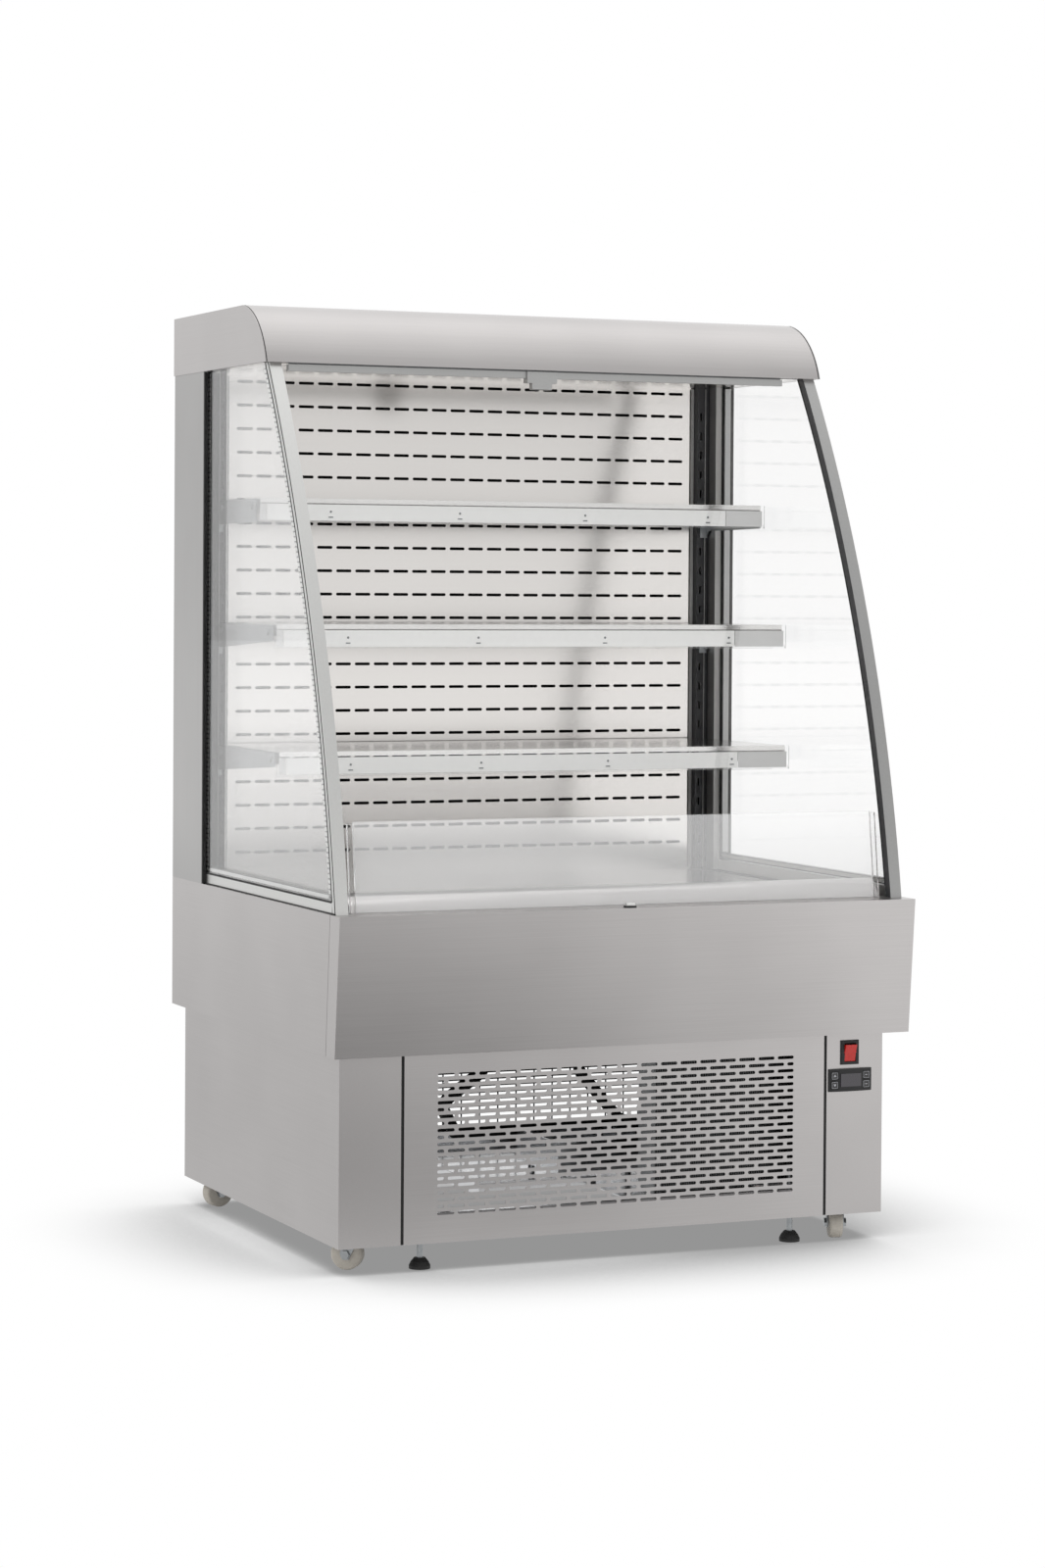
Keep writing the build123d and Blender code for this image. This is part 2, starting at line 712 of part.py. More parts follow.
# Slotted uprights: two columns of hook slots in each.
upright_outer = 482.0
upright_depth = 18.0
upright_wall = 1.5
upright_slot = (3.2, 13.0)
upright_columns = (449.0, 473.0)
upright_slots = 24
upright_first = shelf_lowest - 6 * upright_slot_pitch - 10.0
upright_solids = []
for side in (-1, 1):
    with BuildPart() as upright:
        x0, x1 = sorted((side * upright_inner, side * upright_outer))
        slab(x0, x1, upright_y, upright_y + upright_depth, tub_top, canopy_bottom)
        slab(
            x0 + upright_wall, x1 - upright_wall, upright_y + upright_wall, upright_y + upright_depth + 1,
            tub_top - 1, canopy_bottom + 1, mode=Mode.SUBTRACT,
        )
        with BuildSketch(Plane.XZ.offset(-upright_y - upright_wall)):
            for column in upright_columns:
                with Locations((side * column, upright_first + upright_slot_pitch * (upright_slots - 1) / 2)):
                    with GridLocations(1, upright_slot_pitch, 1, upright_slots):
                        Rectangle(*upright_slot)
        extrude(amount=upright_wall, mode=Mode.SUBTRACT)
    upright_solids.extend(upright.part.solids())
keep_group(upright_solids, "uprights")


# Side glass: the front edge is one arc, whose centre follows from its two end points.
def arc_centre(y_top, y_bottom, z_top, z_bottom, radius):
    """Centre, behind the edge, of the arc of that radius through both ends."""
    half = sqrt((y_top - y_bottom) ** 2 + (z_top - z_bottom) ** 2) / 2
    away = sqrt(radius ** 2 - half ** 2)
    along_y = (y_top - y_bottom) / (2 * half)
    along_z = (z_top - z_bottom) / (2 * half)
    return (y_top + y_bottom) / 2 + along_z * away, (z_top + z_bottom) / 2 - along_y * away


arc_y, arc_z = arc_centre(glass_top_y, glass_bottom_y, canopy_bottom, tub_top, glass_arc_radius)


def arc_front(z, inset=0.0):
    """Front edge of the side glass at a height, on an arc set in by an inset."""
    return arc_y - sqrt((glass_arc_radius - inset) ** 2 - (z - arc_z) ** 2)


def arc_region(inset, z0, z1, rear):
    """Face in the side plane from an arc set in by inset back to a straight or an arc rear edge."""
    middle = (z0 + z1) / 2
    ThreePointArc((arc_front(z0, inset), z0), (arc_front(middle, inset), middle), (arc_front(z1, inset), z1))
    if rear is None:
        deep = inset + rear_of_profile
        Line((arc_front(z1, inset), z1), (arc_front(z1, deep), z1))
        ThreePointArc((arc_front(z1, deep), z1), (arc_front(middle, deep), middle), (arc_front(z0, deep), z0))
        Line((arc_front(z0, deep), z0), (arc_front(z0, inset), z0))
    else:
        Polyline((arc_front(z1, inset), z1), (rear, z1), (rear, z0), (arc_front(z0, inset), z0))


profile_low = tub_top + bottom_profile_height
glass_rear_y = pillar_pocket_y - sheet - 4.0
profile_wall = 1.6
bottom_solids = []
for side, tag in ((-1, "left"), (1, "right")):
    pane_solids = []
    for x0 in (glass_inner, glass_outer - pane):
        with BuildPart() as glass_pane:
            with BuildSketch(Plane.YZ.offset(side * x0)):
                with BuildLine():
                    arc_region(profile_depth, profile_low, canopy_bottom, glass_rear_y)
                make_face()
            extrude(amount=side * pane)
        pane_solids.extend(glass_pane.part.solids())
    keep_group(pane_solids, f"side_glass_{tag}")

    with BuildPart() as front_profile:
        rear_of_profile = profile_depth
        with BuildSketch(Plane.YZ.offset(side * glass_inner)):
            with BuildLine():
                arc_region(0.0, tub_top, canopy_bottom, None)
            make_face()
        extrude(amount=side * profile_width)
        rear_of_profile = profile_depth - 2 * profile_wall
        with BuildSketch(Plane.YZ.offset(side * (glass_inner + profile_wall))):
            with BuildLine():
                arc_region(profile_wall, tub_top, canopy_bottom, None)
            make_face()
        extrude(amount=side * (profile_width - 2 * profile_wall), mode=Mode.SUBTRACT)
    keep(front_profile, f"front_profile_{tag}")

    with BuildPart() as bottom_profile:
        x0, x1 = sorted((side * glass_inner, side * glass_outer))
        y0 = arc_front(profile_low) + profile_depth + face_gap
        slab(x0, x1, y0, glass_rear_y, tub_top, profile_low)
        slab(
            x0 + profile_wall, x1 - profile_wall, y0 - 1, glass_rear_y + 1,
            tub_top + profile_wall, profile_low - profile_wall, mode=Mode.SUBTRACT,
        )
    bottom_solids.extend(bottom_profile.part.solids())
keep_group(bottom_solids, "bottom_profiles")

# ---------------------------------------------------------------- canopy
nose_back_y = nose_y + nose_depth
nose_middle = (nose_y + 37.0, canopy_bottom + 60.0)


def circle_through(a, b, c):
    """Centre and radius of the circle through three points in a plane."""
    ax, ay = a
    bx, by = b
    cx, cy = c
    d = 2 * (ax * (by - cy) + bx * (cy - ay) + cx * (ay - by))
    sa, sb, sc = ax * ax + ay * ay, bx * bx + by * by, cx * cx + cy * cy
    ux = (sa * (by - cy) + sb * (cy - ay) + sc * (ay - by)) / d
    uy = (sa * (cx - bx) + sb * (ax - cx) + sc * (bx - ax)) / d
    return ux, uy, sqrt((ax - ux) ** 2 + (ay - uy) ** 2)


nose_cy, nose_cz, nose_radius = circle_through(
    (nose_back_y, top_height), nose_middle, (nose_y, canopy_bottom)
)


def nose_points(inset):
    """Top, middle and bottom points of the nose arc, set in by a sheet or a gap."""
    radius = nose_radius - inset
    top_z = top_height - inset
    low_z = canopy_bottom + inset
    top_y = nose_cy + (1 if nose_back_y > nose_cy else -1) * sqrt(radius ** 2 - (top_z - nose_cz) ** 2)
    low_y = nose_cy - sqrt(radius ** 2 - (low_z - nose_cz) ** 2)
    turn_top = atan2(top_z - nose_cz, top_y - nose_cy) % (2 * pi)
    turn_low = atan2(low_z - nose_cz, low_y - nose_cy) % (2 * pi)
    angle = (turn_top + turn_low) / 2
    return (top_y, top_z), (nose_cy + radius * cos(angle), nose_cz + radius * sin(angle)), (low_y, low_z)


def nose_outline(inset):
    """Closed canopy section, set in all round."""
    top, middle, low = nose_points(inset)
    ThreePointArc(top, middle, low)
    Polyline(low, (rear_y - inset, low[1]), (rear_y - inset, top[1]), top)


cap = 2.0
cap_seam = 0.5
skin_half = canopy_half - cap - cap_seam
nose_return = 10.0
with BuildPart() as canopy_skin:
    with BuildSketch(Plane.YZ.offset(-skin_half)):
        with BuildLine():
            nose_outline(0.0)
        make_face()
        with BuildLine():
            nose_outline(sheet)
        make_face(mode=Mode.SUBTRACT)
        with Locations(((nose_y + nose_return + rear_y - sheet) / 2, canopy_bottom)):
            Rectangle(rear_y - sheet - nose_y - nose_return, 4 * sheet, mode=Mode.SUBTRACT)
    extrude(amount=2 * skin_half)
keep(canopy_skin, "canopy_skin")

cap_fold = 12.0
cap_solids = []
for side in (-1, 1):
    with BuildPart() as canopy_end:
        with BuildSketch(Plane.YZ.offset(side * (canopy_half - cap))):
            with BuildLine():
                nose_outline(0.0)
            make_face()
        extrude(amount=side * cap)
        with BuildSketch(Plane.YZ.offset(side * (canopy_half - cap))):
            with BuildLine():
                nose_outline(2 * sheet + face_gap)
            make_face()
            with BuildLine():
                nose_outline(3 * sheet + face_gap)
            make_face(mode=Mode.SUBTRACT)
        extrude(amount=-side * cap_fold)
    cap_solids.extend(canopy_end.part.solids())
keep_group(cap_solids, "canopy_ends")

# Ceiling with the discharge grid, the film guide and the two roller brackets.
blind_slot_front = nose_y + nose_return
ceiling_front_y = blind_y + 9.0
ceiling_half = skin_half - 2.0
roller_y = blind_y + roller_radius
roller_axle = 4.0
bracket_gap = 8.0
grid_pitch = 13.0
grid_cell = 10.0
ceiling_rear_y = back_panel_y + 3.0
ceiling_cell = Wire.make_rect(grid_cell, grid_cell)
ceiling_holes = [
    (ceiling_cell, x, y) for x, y in grid((0, ceiling_front_y + 42), grid_pitch, grid_pitch, 68, 4)
]
ceiling_depth = ceiling_rear_y - ceiling_front_y
ceiling_plane = Plane.XY.offset(canopy_bottom)
with BuildPart() as ceiling_sheet:
    ceiling_face = pierced(
        ceiling_plane, 2 * ceiling_half, ceiling_depth,
        (0, ceiling_front_y + ceiling_depth / 2), ceiling_holes,
    )
    thicken(ceiling_face, ceiling_plane)
ceiling_solids = list(ceiling_sheet.part.solids())
guide_half = ceiling_half - 14.0
with BuildPart() as ceiling_guide:
    slab(
        -guide_half, guide_half, ceiling_front_y, ceiling_front_y + sheet,
        canopy_bottom + sheet, canopy_bottom + 6,
    )
ceiling_solids.extend(ceiling_guide.part.solids())
for side in (-1, 1):
    with BuildPart() as ceiling_side:
        x0, x1 = sorted((side * (back_panel_half + 1), side * ceiling_half))
        slab(x0, x1, ceiling_rear_y, rear_y - 2, canopy_bottom, canopy_bottom + sheet)
    ceiling_solids.extend(ceiling_side.part.solids())
    near = blind_centre + side * (blind_half + bracket_gap)
    x0, x1 = sorted((near, near + side * 2))
    with BuildPart() as roller_bracket:
        slab(
            x0, x1, ceiling_front_y + sheet, roller_y + 26, canopy_bottom + sheet, roller_height + 14
        )
        slab(x0, x1, roller_y - 12, ceiling_front_y + sheet, canopy_bottom + 12, roller_height + 14)
        with Locations(Location((near, roller_y, roller_height), (0, 90, 0))):
            Cylinder(roller_axle + running_gap, 10, mode=Mode.SUBTRACT)
    ceiling_solids.extend(roller_bracket.part.solids())
keep_group(ceiling_solids, "canopy_ceiling")

# ---------------------------------------------------------------- night blind
roller_half = blind_half + bracket_gap - 1.0
with BuildPart() as blind_roller:
    with Locations(Location((blind_centre, roller_y, roller_height), (0, 90, 0))):
        Cylinder(roller_radius, 2 * roller_half)
        Cylinder(roller_axle, 2 * (blind_half + bracket_gap + 4))
keep(blind_roller, "blind_roller")

with BuildPart() as blind_film:
    slab(
        blind_centre - blind_half + 2, blind_centre + blind_half - 2, blind_y - film, blind_y,
        bar_top, roller_height,
    )
keep(blind_film, "blind_film")

bar_y = blind_y - film / 2
with BuildPart() as blind_bar:
    slab(
        blind_centre - blind_half, blind_centre + blind_half, bar_y - bar_size / 2, bar_y + bar_size / 2,
        bar_top - bar_size, bar_top,
    )
    left = blind_centre - 2.5 - handle_width / 2
    right = left + handle_width
    front = bar_y - bar_size / 2
    slab(left, right, front - 4, front, bar_top - bar_size - 8, bar_top)
    slab(left, right, front - 4, front + 12, bar_top - bar_size - 8, bar_top - bar_size)
    slab(left + 9, right - 9, front - 4, front + 8, bar_top - bar_size - handle_drop, bar_top - bar_size - 8)
    fillet(blind_bar.edges().filter_by(Axis.X).group_by(Axis.Z)[0], 2)
keep(blind_bar, "blind_bar")

# ---------------------------------------------------------------- shelves
shelf_half = 457.5
shelf_rear_y = upright_y - 3.0
bracket_x = 460.0
hook_x = upright_columns[0]
bolt_radius = 3.0
bracket_solids = []
rail_solids = []
for name, top, rail_y, front_height in zip(shelf_names, shelf_tops, shelf_rail_y, shelf_bracket_front):
    lip_y = rail_y + rail_depth
    bolts = [(lip_y + 30, top - 14), (shelf_rear_y - 34, top - 14)]
    with BuildPart() as shelf:
        slab(-shelf_half, shelf_half, lip_y, shelf_rear_y, top - sheet, top)
        slab(-shelf_half, shelf_half, lip_y, lip_y + sheet, top - shelf_flange, top)
        slab(-shelf_half, shelf_half, shelf_rear_y - sheet, shelf_rear_y, top - shelf_side_flange, top)
        for side in (-1, 1):
            x0, x1 = sorted((side * shelf_half, side * (shelf_half - sheet)))
            slab(x0, x1, lip_y, shelf_rear_y, top - shelf_side_flange, top)
            for bolt_y, bolt_z in bolts:
                with Locations(Location((side * shelf_half, bolt_y, bolt_z), (0, 90, 0))):
                    Cylinder(bolt_radius, 8, mode=Mode.SUBTRACT)
    keep(shelf, name)

    for side in (-1, 1):
        with BuildPart() as bracket:
            with BuildSketch(Plane.YZ.offset(side * bracket_x)):
                with BuildLine():
                    Polyline(
                        (upright_y - 1.8, top - 2), (upright_y - 1.8, top - 52), (upright_y - 12, top - 42),
                        (upright_y - 40, top - 2 - bracket_rear_height),
                        (lip_y + 9, top - 4 - front_height), (lip_y + 9, top - 2), close=True,
                    )
                make_face()
            extrude(amount=side * bracket_plate)
            for bolt_y, bolt_z in bolts:
                with Locations(Location((side * bracket_x, bolt_y, bolt_z), (0, 90, 0))):
                    Cylinder(bolt_radius, 8, mode=Mode.SUBTRACT)
        with BuildPart() as hook_plate:
            x0, x1 = sorted((side * (hook_x - 1), side * (bracket_x + bracket_plate)))
            slab(x0, x1, upright_y - 1.8, upright_y, top - 54, top - 2)
            x0, x1 = sorted((side * (hook_x - 1), side * (hook_x + 1)))
            for hook_z in (top - 10, top - 10 - upright_slot_pitch):
                low = hook_z - upright_slot[1] / 2
                slab(x0, x1, upright_y - 1, upright_y + 4, low, low + 9)
                slab(x0, x1, upright_y + upright_wall + 0.3, upright_y + 4, low - 3, low + 9)
        bracket_solids.extend(hook_plate.part.solids())
        for bolt_y, bolt_z in bolts:
            with BuildPart() as bolt:
                for near, radius, reach in (
                    (bracket_x + bracket_plate, bolt_radius, shelf_half - bracket_x - bracket_plate - 4),
                    (bracket_x + bracket_plate, 5.0, 2.5),
                ):
                    with BuildSketch(Plane.YZ.offset(side * near)):
                        with Locations((bolt_y, bolt_z)):
                            Circle(radius)
                    extrude(amount=side * reach)
            bracket_solids.extend(bolt.part.solids())
        bracket_solids.extend(bracket.part.solids())

    with BuildPart() as ticket_rail:
        slab(-rail_half, rail_half, rail_y, lip_y, top - rail_height, top)
        slab(-rail_half - 1, rail_half + 1, rail_y + 2, lip_y - 1.5, top - rail_height + 2, top + 1,
             mode=Mode.SUBTRACT)
    rail_solids.extend(ticket_rail.part.solids())
keep_group(bracket_solids, "shelf_brackets")
keep_group(rail_solids, "ticket_rails")

# ---------------------------------------------------------------- controls
bezel_front_y = base_front_y - 3.0
rocker_half_width = 10.0
rocker_half_height = 14.3
rocker_pivot_y = base_front_y - 1.5
rocker_tilt = 15.0
pocket_half_width = rocker_half_width + 0.4
pocket_half_height = rocker_half_height + 1.0
rocker_pin = 1.5
with BuildPart() as rocker_bezel:
    slab(
        switch_x - switch_width / 2, switch_x + switch_width / 2, bezel_front_y, base_front_y,
        switch_z - switch_height / 2, switch_z + switch_height / 2,
    )
    fillet(rocker_bezel.faces().sort_by(Axis.Y)[0].edges(), 1.5)
    slab(
        switch_x - switch_body_width / 2, switch_x + switch_body_width / 2, base_front_y, base_front_y + 20,
        switch_z - switch_body_height / 2, switch_z + switch_body_height / 2,
    )
    slab(
        switch_x - pocket_half_width, switch_x + pocket_half_width, bezel_front_y - 1, base_front_y + 12,
        switch_z - pocket_half_height, switch_z + pocket_half_height, mode=Mode.SUBTRACT,
    )
    with Locations(Location((switch_x, rocker_pivot_y, switch_z), (0, 90, 0))):
        Cylinder(rocker_pin + running_gap, 2 * pocket_half_width + 4, mode=Mode.SUBTRACT)
keep(rocker_bezel, "rocker_bezel")

with BuildPart() as rocker_body:
    with BuildSketch(Plane.YZ):
        with BuildLine():
            Polyline(
                (-3.5, rocker_half_height), (-2.2, 0), (-3.5, -rocker_half_height), (3, -12), (8, 0), (3, 12),
                close=True,
            )
        make_face()
    extrude(amount=rocker_half_width, both=True)
    with Locations(Location((0, 0, 0), (0, 90, 0))):
        Cylinder(rocker_pin, 2 * pocket_half_width + 3)
rocker = Location((switch_x, rocker_pivot_y, switch_z), (rocker_tilt, 0, 0)) * rocker_body.part
rocker.label = "rocker"
export_step(rocker, "parts/rocker.step")

controller_edge_y = base_front_y - 2.0
controller_bulge = 2.7
controller_depth = 52.0
key_offset_x = 29.0
key_offset_z = 7.6
key_front_y = controller_edge_y - controller_bulge * (1 - (key_offset_x * 2 / controller_width) ** 2) - key_proud
key_depth = 2.9
key_travel = 0.8
with BuildPart() as controller:
    with BuildSketch(Plane.XY.offset(controller_z - controller_height / 2)):
        with BuildLine():
            left = controller_x - controller_width / 2
            right = controller_x + controller_width / 2
            Line((left, base_front_y), (left, controller_edge_y))
            ThreePointArc(
                (left, controller_edge_y), (controller_x, controller_edge_y - controller_bulge),
                (right, controller_edge_y),
            )
            Polyline((right, controller_edge_y), (right, base_front_y), (left, base_front_y))
        make_face()
    extrude(amount=controller_height)
    slab(
        controller_x - controller_body_width / 2, controller_x + controller_body_width / 2,
        base_front_y, base_front_y + controller_depth,
        controller_z - controller_body_height / 2, controller_z + controller_body_height / 2,
    )
    with Locations((controller_x, key_front_y + key_depth / 2 + key_travel / 2, controller_z)):
        for along in (-key_offset_x, key_offset_x):
            for up in (-key_offset_z, key_offset_z):
                with Locations((along, 0, up)):
                    Box(
                        key_width + 2 * key_gap, key_depth + key_travel + 0.8, key_height + 2 * key_gap,
                        mode=Mode.SUBTRACT,
                    )
keep(controller, "controller")

for name, along, up in (
    ("key_up", -key_offset_x, key_offset_z), ("key_down", -key_offset_x, -key_offset_z),
    ("key_set", key_offset_x, key_offset_z), ("key_light", key_offset_x, -key_offset_z),
):
    with BuildPart() as key:
        with Locations((controller_x + along, key_front_y + key_depth / 2, controller_z + up)):
            Box(key_width, key_depth, key_height)
        fillet(key.faces().sort_by(Axis.Y)[0].edges(), 0.5)
    keep(key, name)

# ---------------------------------------------------------------- cooling circuit
tray_floor = frame_low + tray_sheet


def comb(x0, x1, y0, y1, z0, z1, pitch, core):
    """Finned block: thin upright fins standing out of both faces of a core."""
    count = int((x1 - x0) / pitch)
    fin = 1.0
    front, rear = (y0 + y1 - core) / 2, (y0 + y1 + core) / 2
    near = []
    for index in range(count):
        x = x0 + index * (x1 - x0 - fin) / (count - 1)
        near += [(x, y0), (x + fin, y0), (x + fin, front)]
        if index < count - 1:
            near.append((x + (x1 - x0 - fin) / (count - 1), front))
    near.pop()
    far = [(x, y0 + y1 - y) for x, y in reversed(near)]
    outline = Wire.make_polygon([Vector(x, y, z0) for x, y in near + far], close=True)
    with BuildPart() as block:
        extrude(Face(outline), amount=z1 - z0, dir=(0, 0, 1), clean=False)
    return block.part.solids()


def fan(x, y, z, hub, tip, name):
    """Axial fan on an axle along Y: hub with a bore, five pitched blades."""
    with BuildPart() as rotor:
        with Locations(Location((x, y, z), (90, 0, 0))):
            Cylinder(hub, 24)
        for blade in range(5):
            turn = Location((x, y, z), (0, 72 * blade, 0))
            with Locations(turn * Location(((hub + tip) / 2 - 1, 0, 0), (28, 0, 0))):
                Box(tip - hub + 2, 2, 0.55 * tip)
        with Locations(Location((x, y, z), (90, 0, 0))):
            Cylinder(fan_shaft + running_gap, 40, mode=Mode.SUBTRACT)
    keep(rotor, name)


def motor(x, z, plate_y, y0, y1, radius, reach):
    """Fan motor in front of or behind its plate, on two cranked arms, with its shaft."""
    toward = 1 if plate_y > y0 else -1
    with Locations(Location((x, (y0 + y1) / 2, z), (90, 0, 0))):
        Cylinder(radius, y1 - y0)
    for side in (-1, 1):
        xa, xb = sorted((x + side * (radius - 2), x + side * reach))
        slab(xa, xb, y0 + 8, y0 + 14, z - 5, z + 5)
        xa, xb = sorted((x + side * reach, x + side * (reach + 5)))
        ya, yb = sorted((plate_y, y0 + 8 if toward > 0 else y0 + 14))
        slab(xa, xb, ya, yb, z - 5, z + 5)
    ya = (y0 + y1) / 2 + toward * ((y1 - y0) / 2 + 12)
    with Locations(Location((x, ya, z), (90, 0, 0))):
        Cylinder(fan_shaft, 28)


fan_shaft = 3.0
condenser_x = (88.0, 342.0)
condenser_y = (tray_front_y + 3, tray_front_y + 39)
condenser_z = (tray_floor + 15, frame_top - tube - 4)
condenser_centre = (sum(condenser_x) / 2, (condenser_z[0] + condenser_z[1]) / 2)
condenser_tip = 92.0
shroud_depth = 26.0
condenser_solids = comb(*condenser_x, *condenser_y, *condenser_z, 4.0, 20.0)
for side in (-1, 1):
    with BuildPart() as condenser_plate:
        x0, x1 = sorted((condenser_x[(side + 1) // 2], condenser_x[(side + 1) // 2] + side * 2))
        slab(x0, x1, condenser_y[0], condenser_y[1], tray_floor, condenser_z[1])
    condenser_solids += condenser_plate.part.solids()
with BuildPart() as condenser:
    shroud_y = condenser_y[1] + shroud_depth
    slab(condenser_x[0], condenser_x[1], condenser_y[1], shroud_y, condenser_z[0], condenser_z[1])
    slab(
        condenser_x[0] + 1.5, condenser_x[1] - 1.5, condenser_y[1], shroud_y - 1.5,
        condenser_z[0] + 1.5, condenser_z[1] - 1.5, mode=Mode.SUBTRACT,
    )
    with Locations(Location((condenser_centre[0], shroud_y, condenser_centre[1]), (90, 0, 0))):
        Cylinder(condenser_tip + 4, 8, mode=Mode.SUBTRACT)
    motor(*condenser_centre, shroud_y - 1, shroud_y + 36, shroud_y + 72, 28, condenser_tip + 9)
keep_group(condenser_solids + condenser.part.solids(), "condenser")
fan(condenser_centre[0], shroud_y + 19, condenser_centre[1], 20, condenser_tip, "condenser_fan")

compressor_x = 335.0
compressor_y = 0.0
compressor_radius = 76.0
with BuildPart() as compressor:
    with BuildSketch(Plane.XZ):
        with BuildLine():
            low, shoulder, crown = tray_floor + 17, tray_floor + 110, tray_floor + 158
            Polyline((0, low), (70, low), (compressor_radius, low + 13), (compressor_radius, shoulder))
            ThreePointArc((compressor_radius, shoulder), (58, shoulder + 32), (0, crown))
            Line((0, crown), (0, low))
        make_face()
    revolve(axis=Axis.Z)
    with BuildSketch(Plane.XY.offset(tray_floor + 14)):
        with Locations((0, 0)):
            Rectangle(190, 120)
    extrude(amount=4)
    with BuildSketch(Plane.XY.offset(tray_floor)):
        with GridLocations(164, 96, 2, 2):
            Circle(10)
    extrude(amount=14)
    slab(-28, 28, -compressor_radius - 30, -compressor_radius + 12, tray_floor + 60, tray_floor + 112)
moved = Location((compressor_x, compressor_y, 0)) * compressor.part
moved.label = "compressor"
export_step(moved, "parts/compressor.step")

evaporator_x = (-330.0, 330.0)
evaporator_y = (-60.0, 150.0)
evaporator_z = (liner_floor + liner + 8, 505.0)
fan_plate_y = evaporator_y[0] - 50
duct_fan_z = 458.0
duct_fan_tip = 62.0
evaporator_solids = comb(*evaporator_x, *evaporator_y, *evaporator_z, 8.0, 150.0)
for side in (-1, 1):
    with BuildPart() as evaporator_plate:
        x0, x1 = sorted((evaporator_x[(side + 1) // 2], evaporator_x[(side + 1) // 2] + side * 2))
        slab(x0, x1, fan_plate_y, evaporator_y[1], liner_floor + liner, evaporator_z[1])
    evaporator_solids += evaporator_plate.part.solids()
with BuildPart() as evaporator:
    slab(
        -liner_half + liner + 2, liner_half - liner - 2, fan_plate_y - sheet, fan_plate_y,
        liner_floor + liner, deck_low - sheet - 2,
    )
    with Locations(Location((0, fan_plate_y, duct_fan_z), (90, 0, 0))):
        Cylinder(duct_fan_tip + 4, 8, mode=Mode.SUBTRACT)
    motor(0, duct_fan_z, fan_plate_y - sheet / 2, fan_plate_y - 92, fan_plate_y - 50, 26, duct_fan_tip + 9)
keep_group(evaporator_solids + evaporator.part.solids(), "evaporator")
fan(0, fan_plate_y - 28, duct_fan_z, 18, duct_fan_tip, "evaporator_fan")

drip_z = (97.0, 150.0)
drip_x = (0.0, 214.0)
drip_y = (-110.0, 60.0)
drip_wall = 2.0
drip_solids = []
for corners in (
    (*drip_x, *drip_y, drip_z[0], drip_z[0] + drip_wall),
    (*drip_x, drip_y[0], drip_y[0] + drip_wall, drip_z[0] + drip_wall, drip_z[1]),
    (*drip_x, drip_y[1] - drip_wall, drip_y[1], drip_z[0] + drip_wall, drip_z[1]),
    (drip_x[0], drip_x[0] + drip_wall, drip_y[0] + drip_wall, drip_y[1] - drip_wall,
     drip_z[0] + drip_wall, drip_z[1]),
    (drip_x[1] - drip_wall, drip_x[1], drip_y[0] + drip_wall, drip_y[1] - drip_wall,
     drip_z[0] + drip_wall, drip_z[1]),
):
    with BuildPart() as drip_wall_sheet:
        slab(*corners)
    drip_solids += drip_wall_sheet.part.solids()
with BuildPart() as drip_studs:
    with BuildSketch(Plane.XY.offset(tray_floor)):
        with Locations((sum(drip_x) / 2, sum(drip_y) / 2)):
            with GridLocations(180, 130, 2, 2):
                Circle(6)
    extrude(amount=drip_z[0] - tray_floor)
keep_group(drip_solids + drip_studs.part.solids(), "drip_tray")


def pipe(radius, bend, *points):
    """A line through points with rounded corners: straight lengths and elbows that meet face to face."""
    with BuildLine() as path:
        FilletPolyline(*points, radius=bend)
    lengths = []
    for edge in path.wires()[0].edges():
        with BuildPart() as run:
            with BuildSketch(Plane(origin=edge @ 0, z_dir=edge % 0)):
                Circle(radius)
            sweep(path=edge)
        lengths += run.part.solids()
    return lengths


suction_x, line_x = pipe_hole[0] - 10, pipe_hole[0] + 16
hole_y = pipe_hole[1]
drier_x = 428.0
pipe_solids = []
pipe_solids += pipe(
    11.0, 20, (suction_x, evaporator_y[1], 440), (suction_x, hole_y, 440), (suction_x, hole_y, 312),
    (-30, 120, 249), (-117, 120, 189), (-60, 190, 125), (compressor_x, 190, 125),
    (compressor_x, compressor_y + compressor_radius, 125),
)
pipe_solids += pipe(
    4.0, 12, (condenser_x[1] + 2, -278, 110), (drier_x, -278, 110), (drier_x, -90, 110),
)
with BuildPart() as drier:
    with Locations(Location((drier_x, -45, 110), (90, 0, 0))):
        Cylinder(10, 90)
pipe_solids += drier.part.solids()
pipe_solids += pipe(
    4.0, 12, (drier_x, 0, 110), (drier_x, 80, 110), (drier_x, 80, 318), (line_x, 80, 318),
    (line_x, hole_y, 318), (line_x, hole_y, 430), (line_x, evaporator_y[1], 430),
)
pipe_solids += pipe(
    5.0, 14, (compressor_x, compressor_y, tray_floor + 159.3), (compressor_x, compressor_y, 300),
    (400, compressor_y, 300), (400, -278, 300), (condenser_x[1] + 2, -278, 300),
)
pipe_solids += pipe(
    drain_radius - 1, 25, (drain[0], drain[1], liner_floor + liner), (drain[0], drain[1], 318),
    (62, drain[1], 268), (148, drain[1], 170), (190, drain[1], 163), (190, drain[1], 116),
)
keep_group(pipe_solids, "pipework")
print("pipe radii", 11.0, 4.0, 5.0, drain_radius - 1)

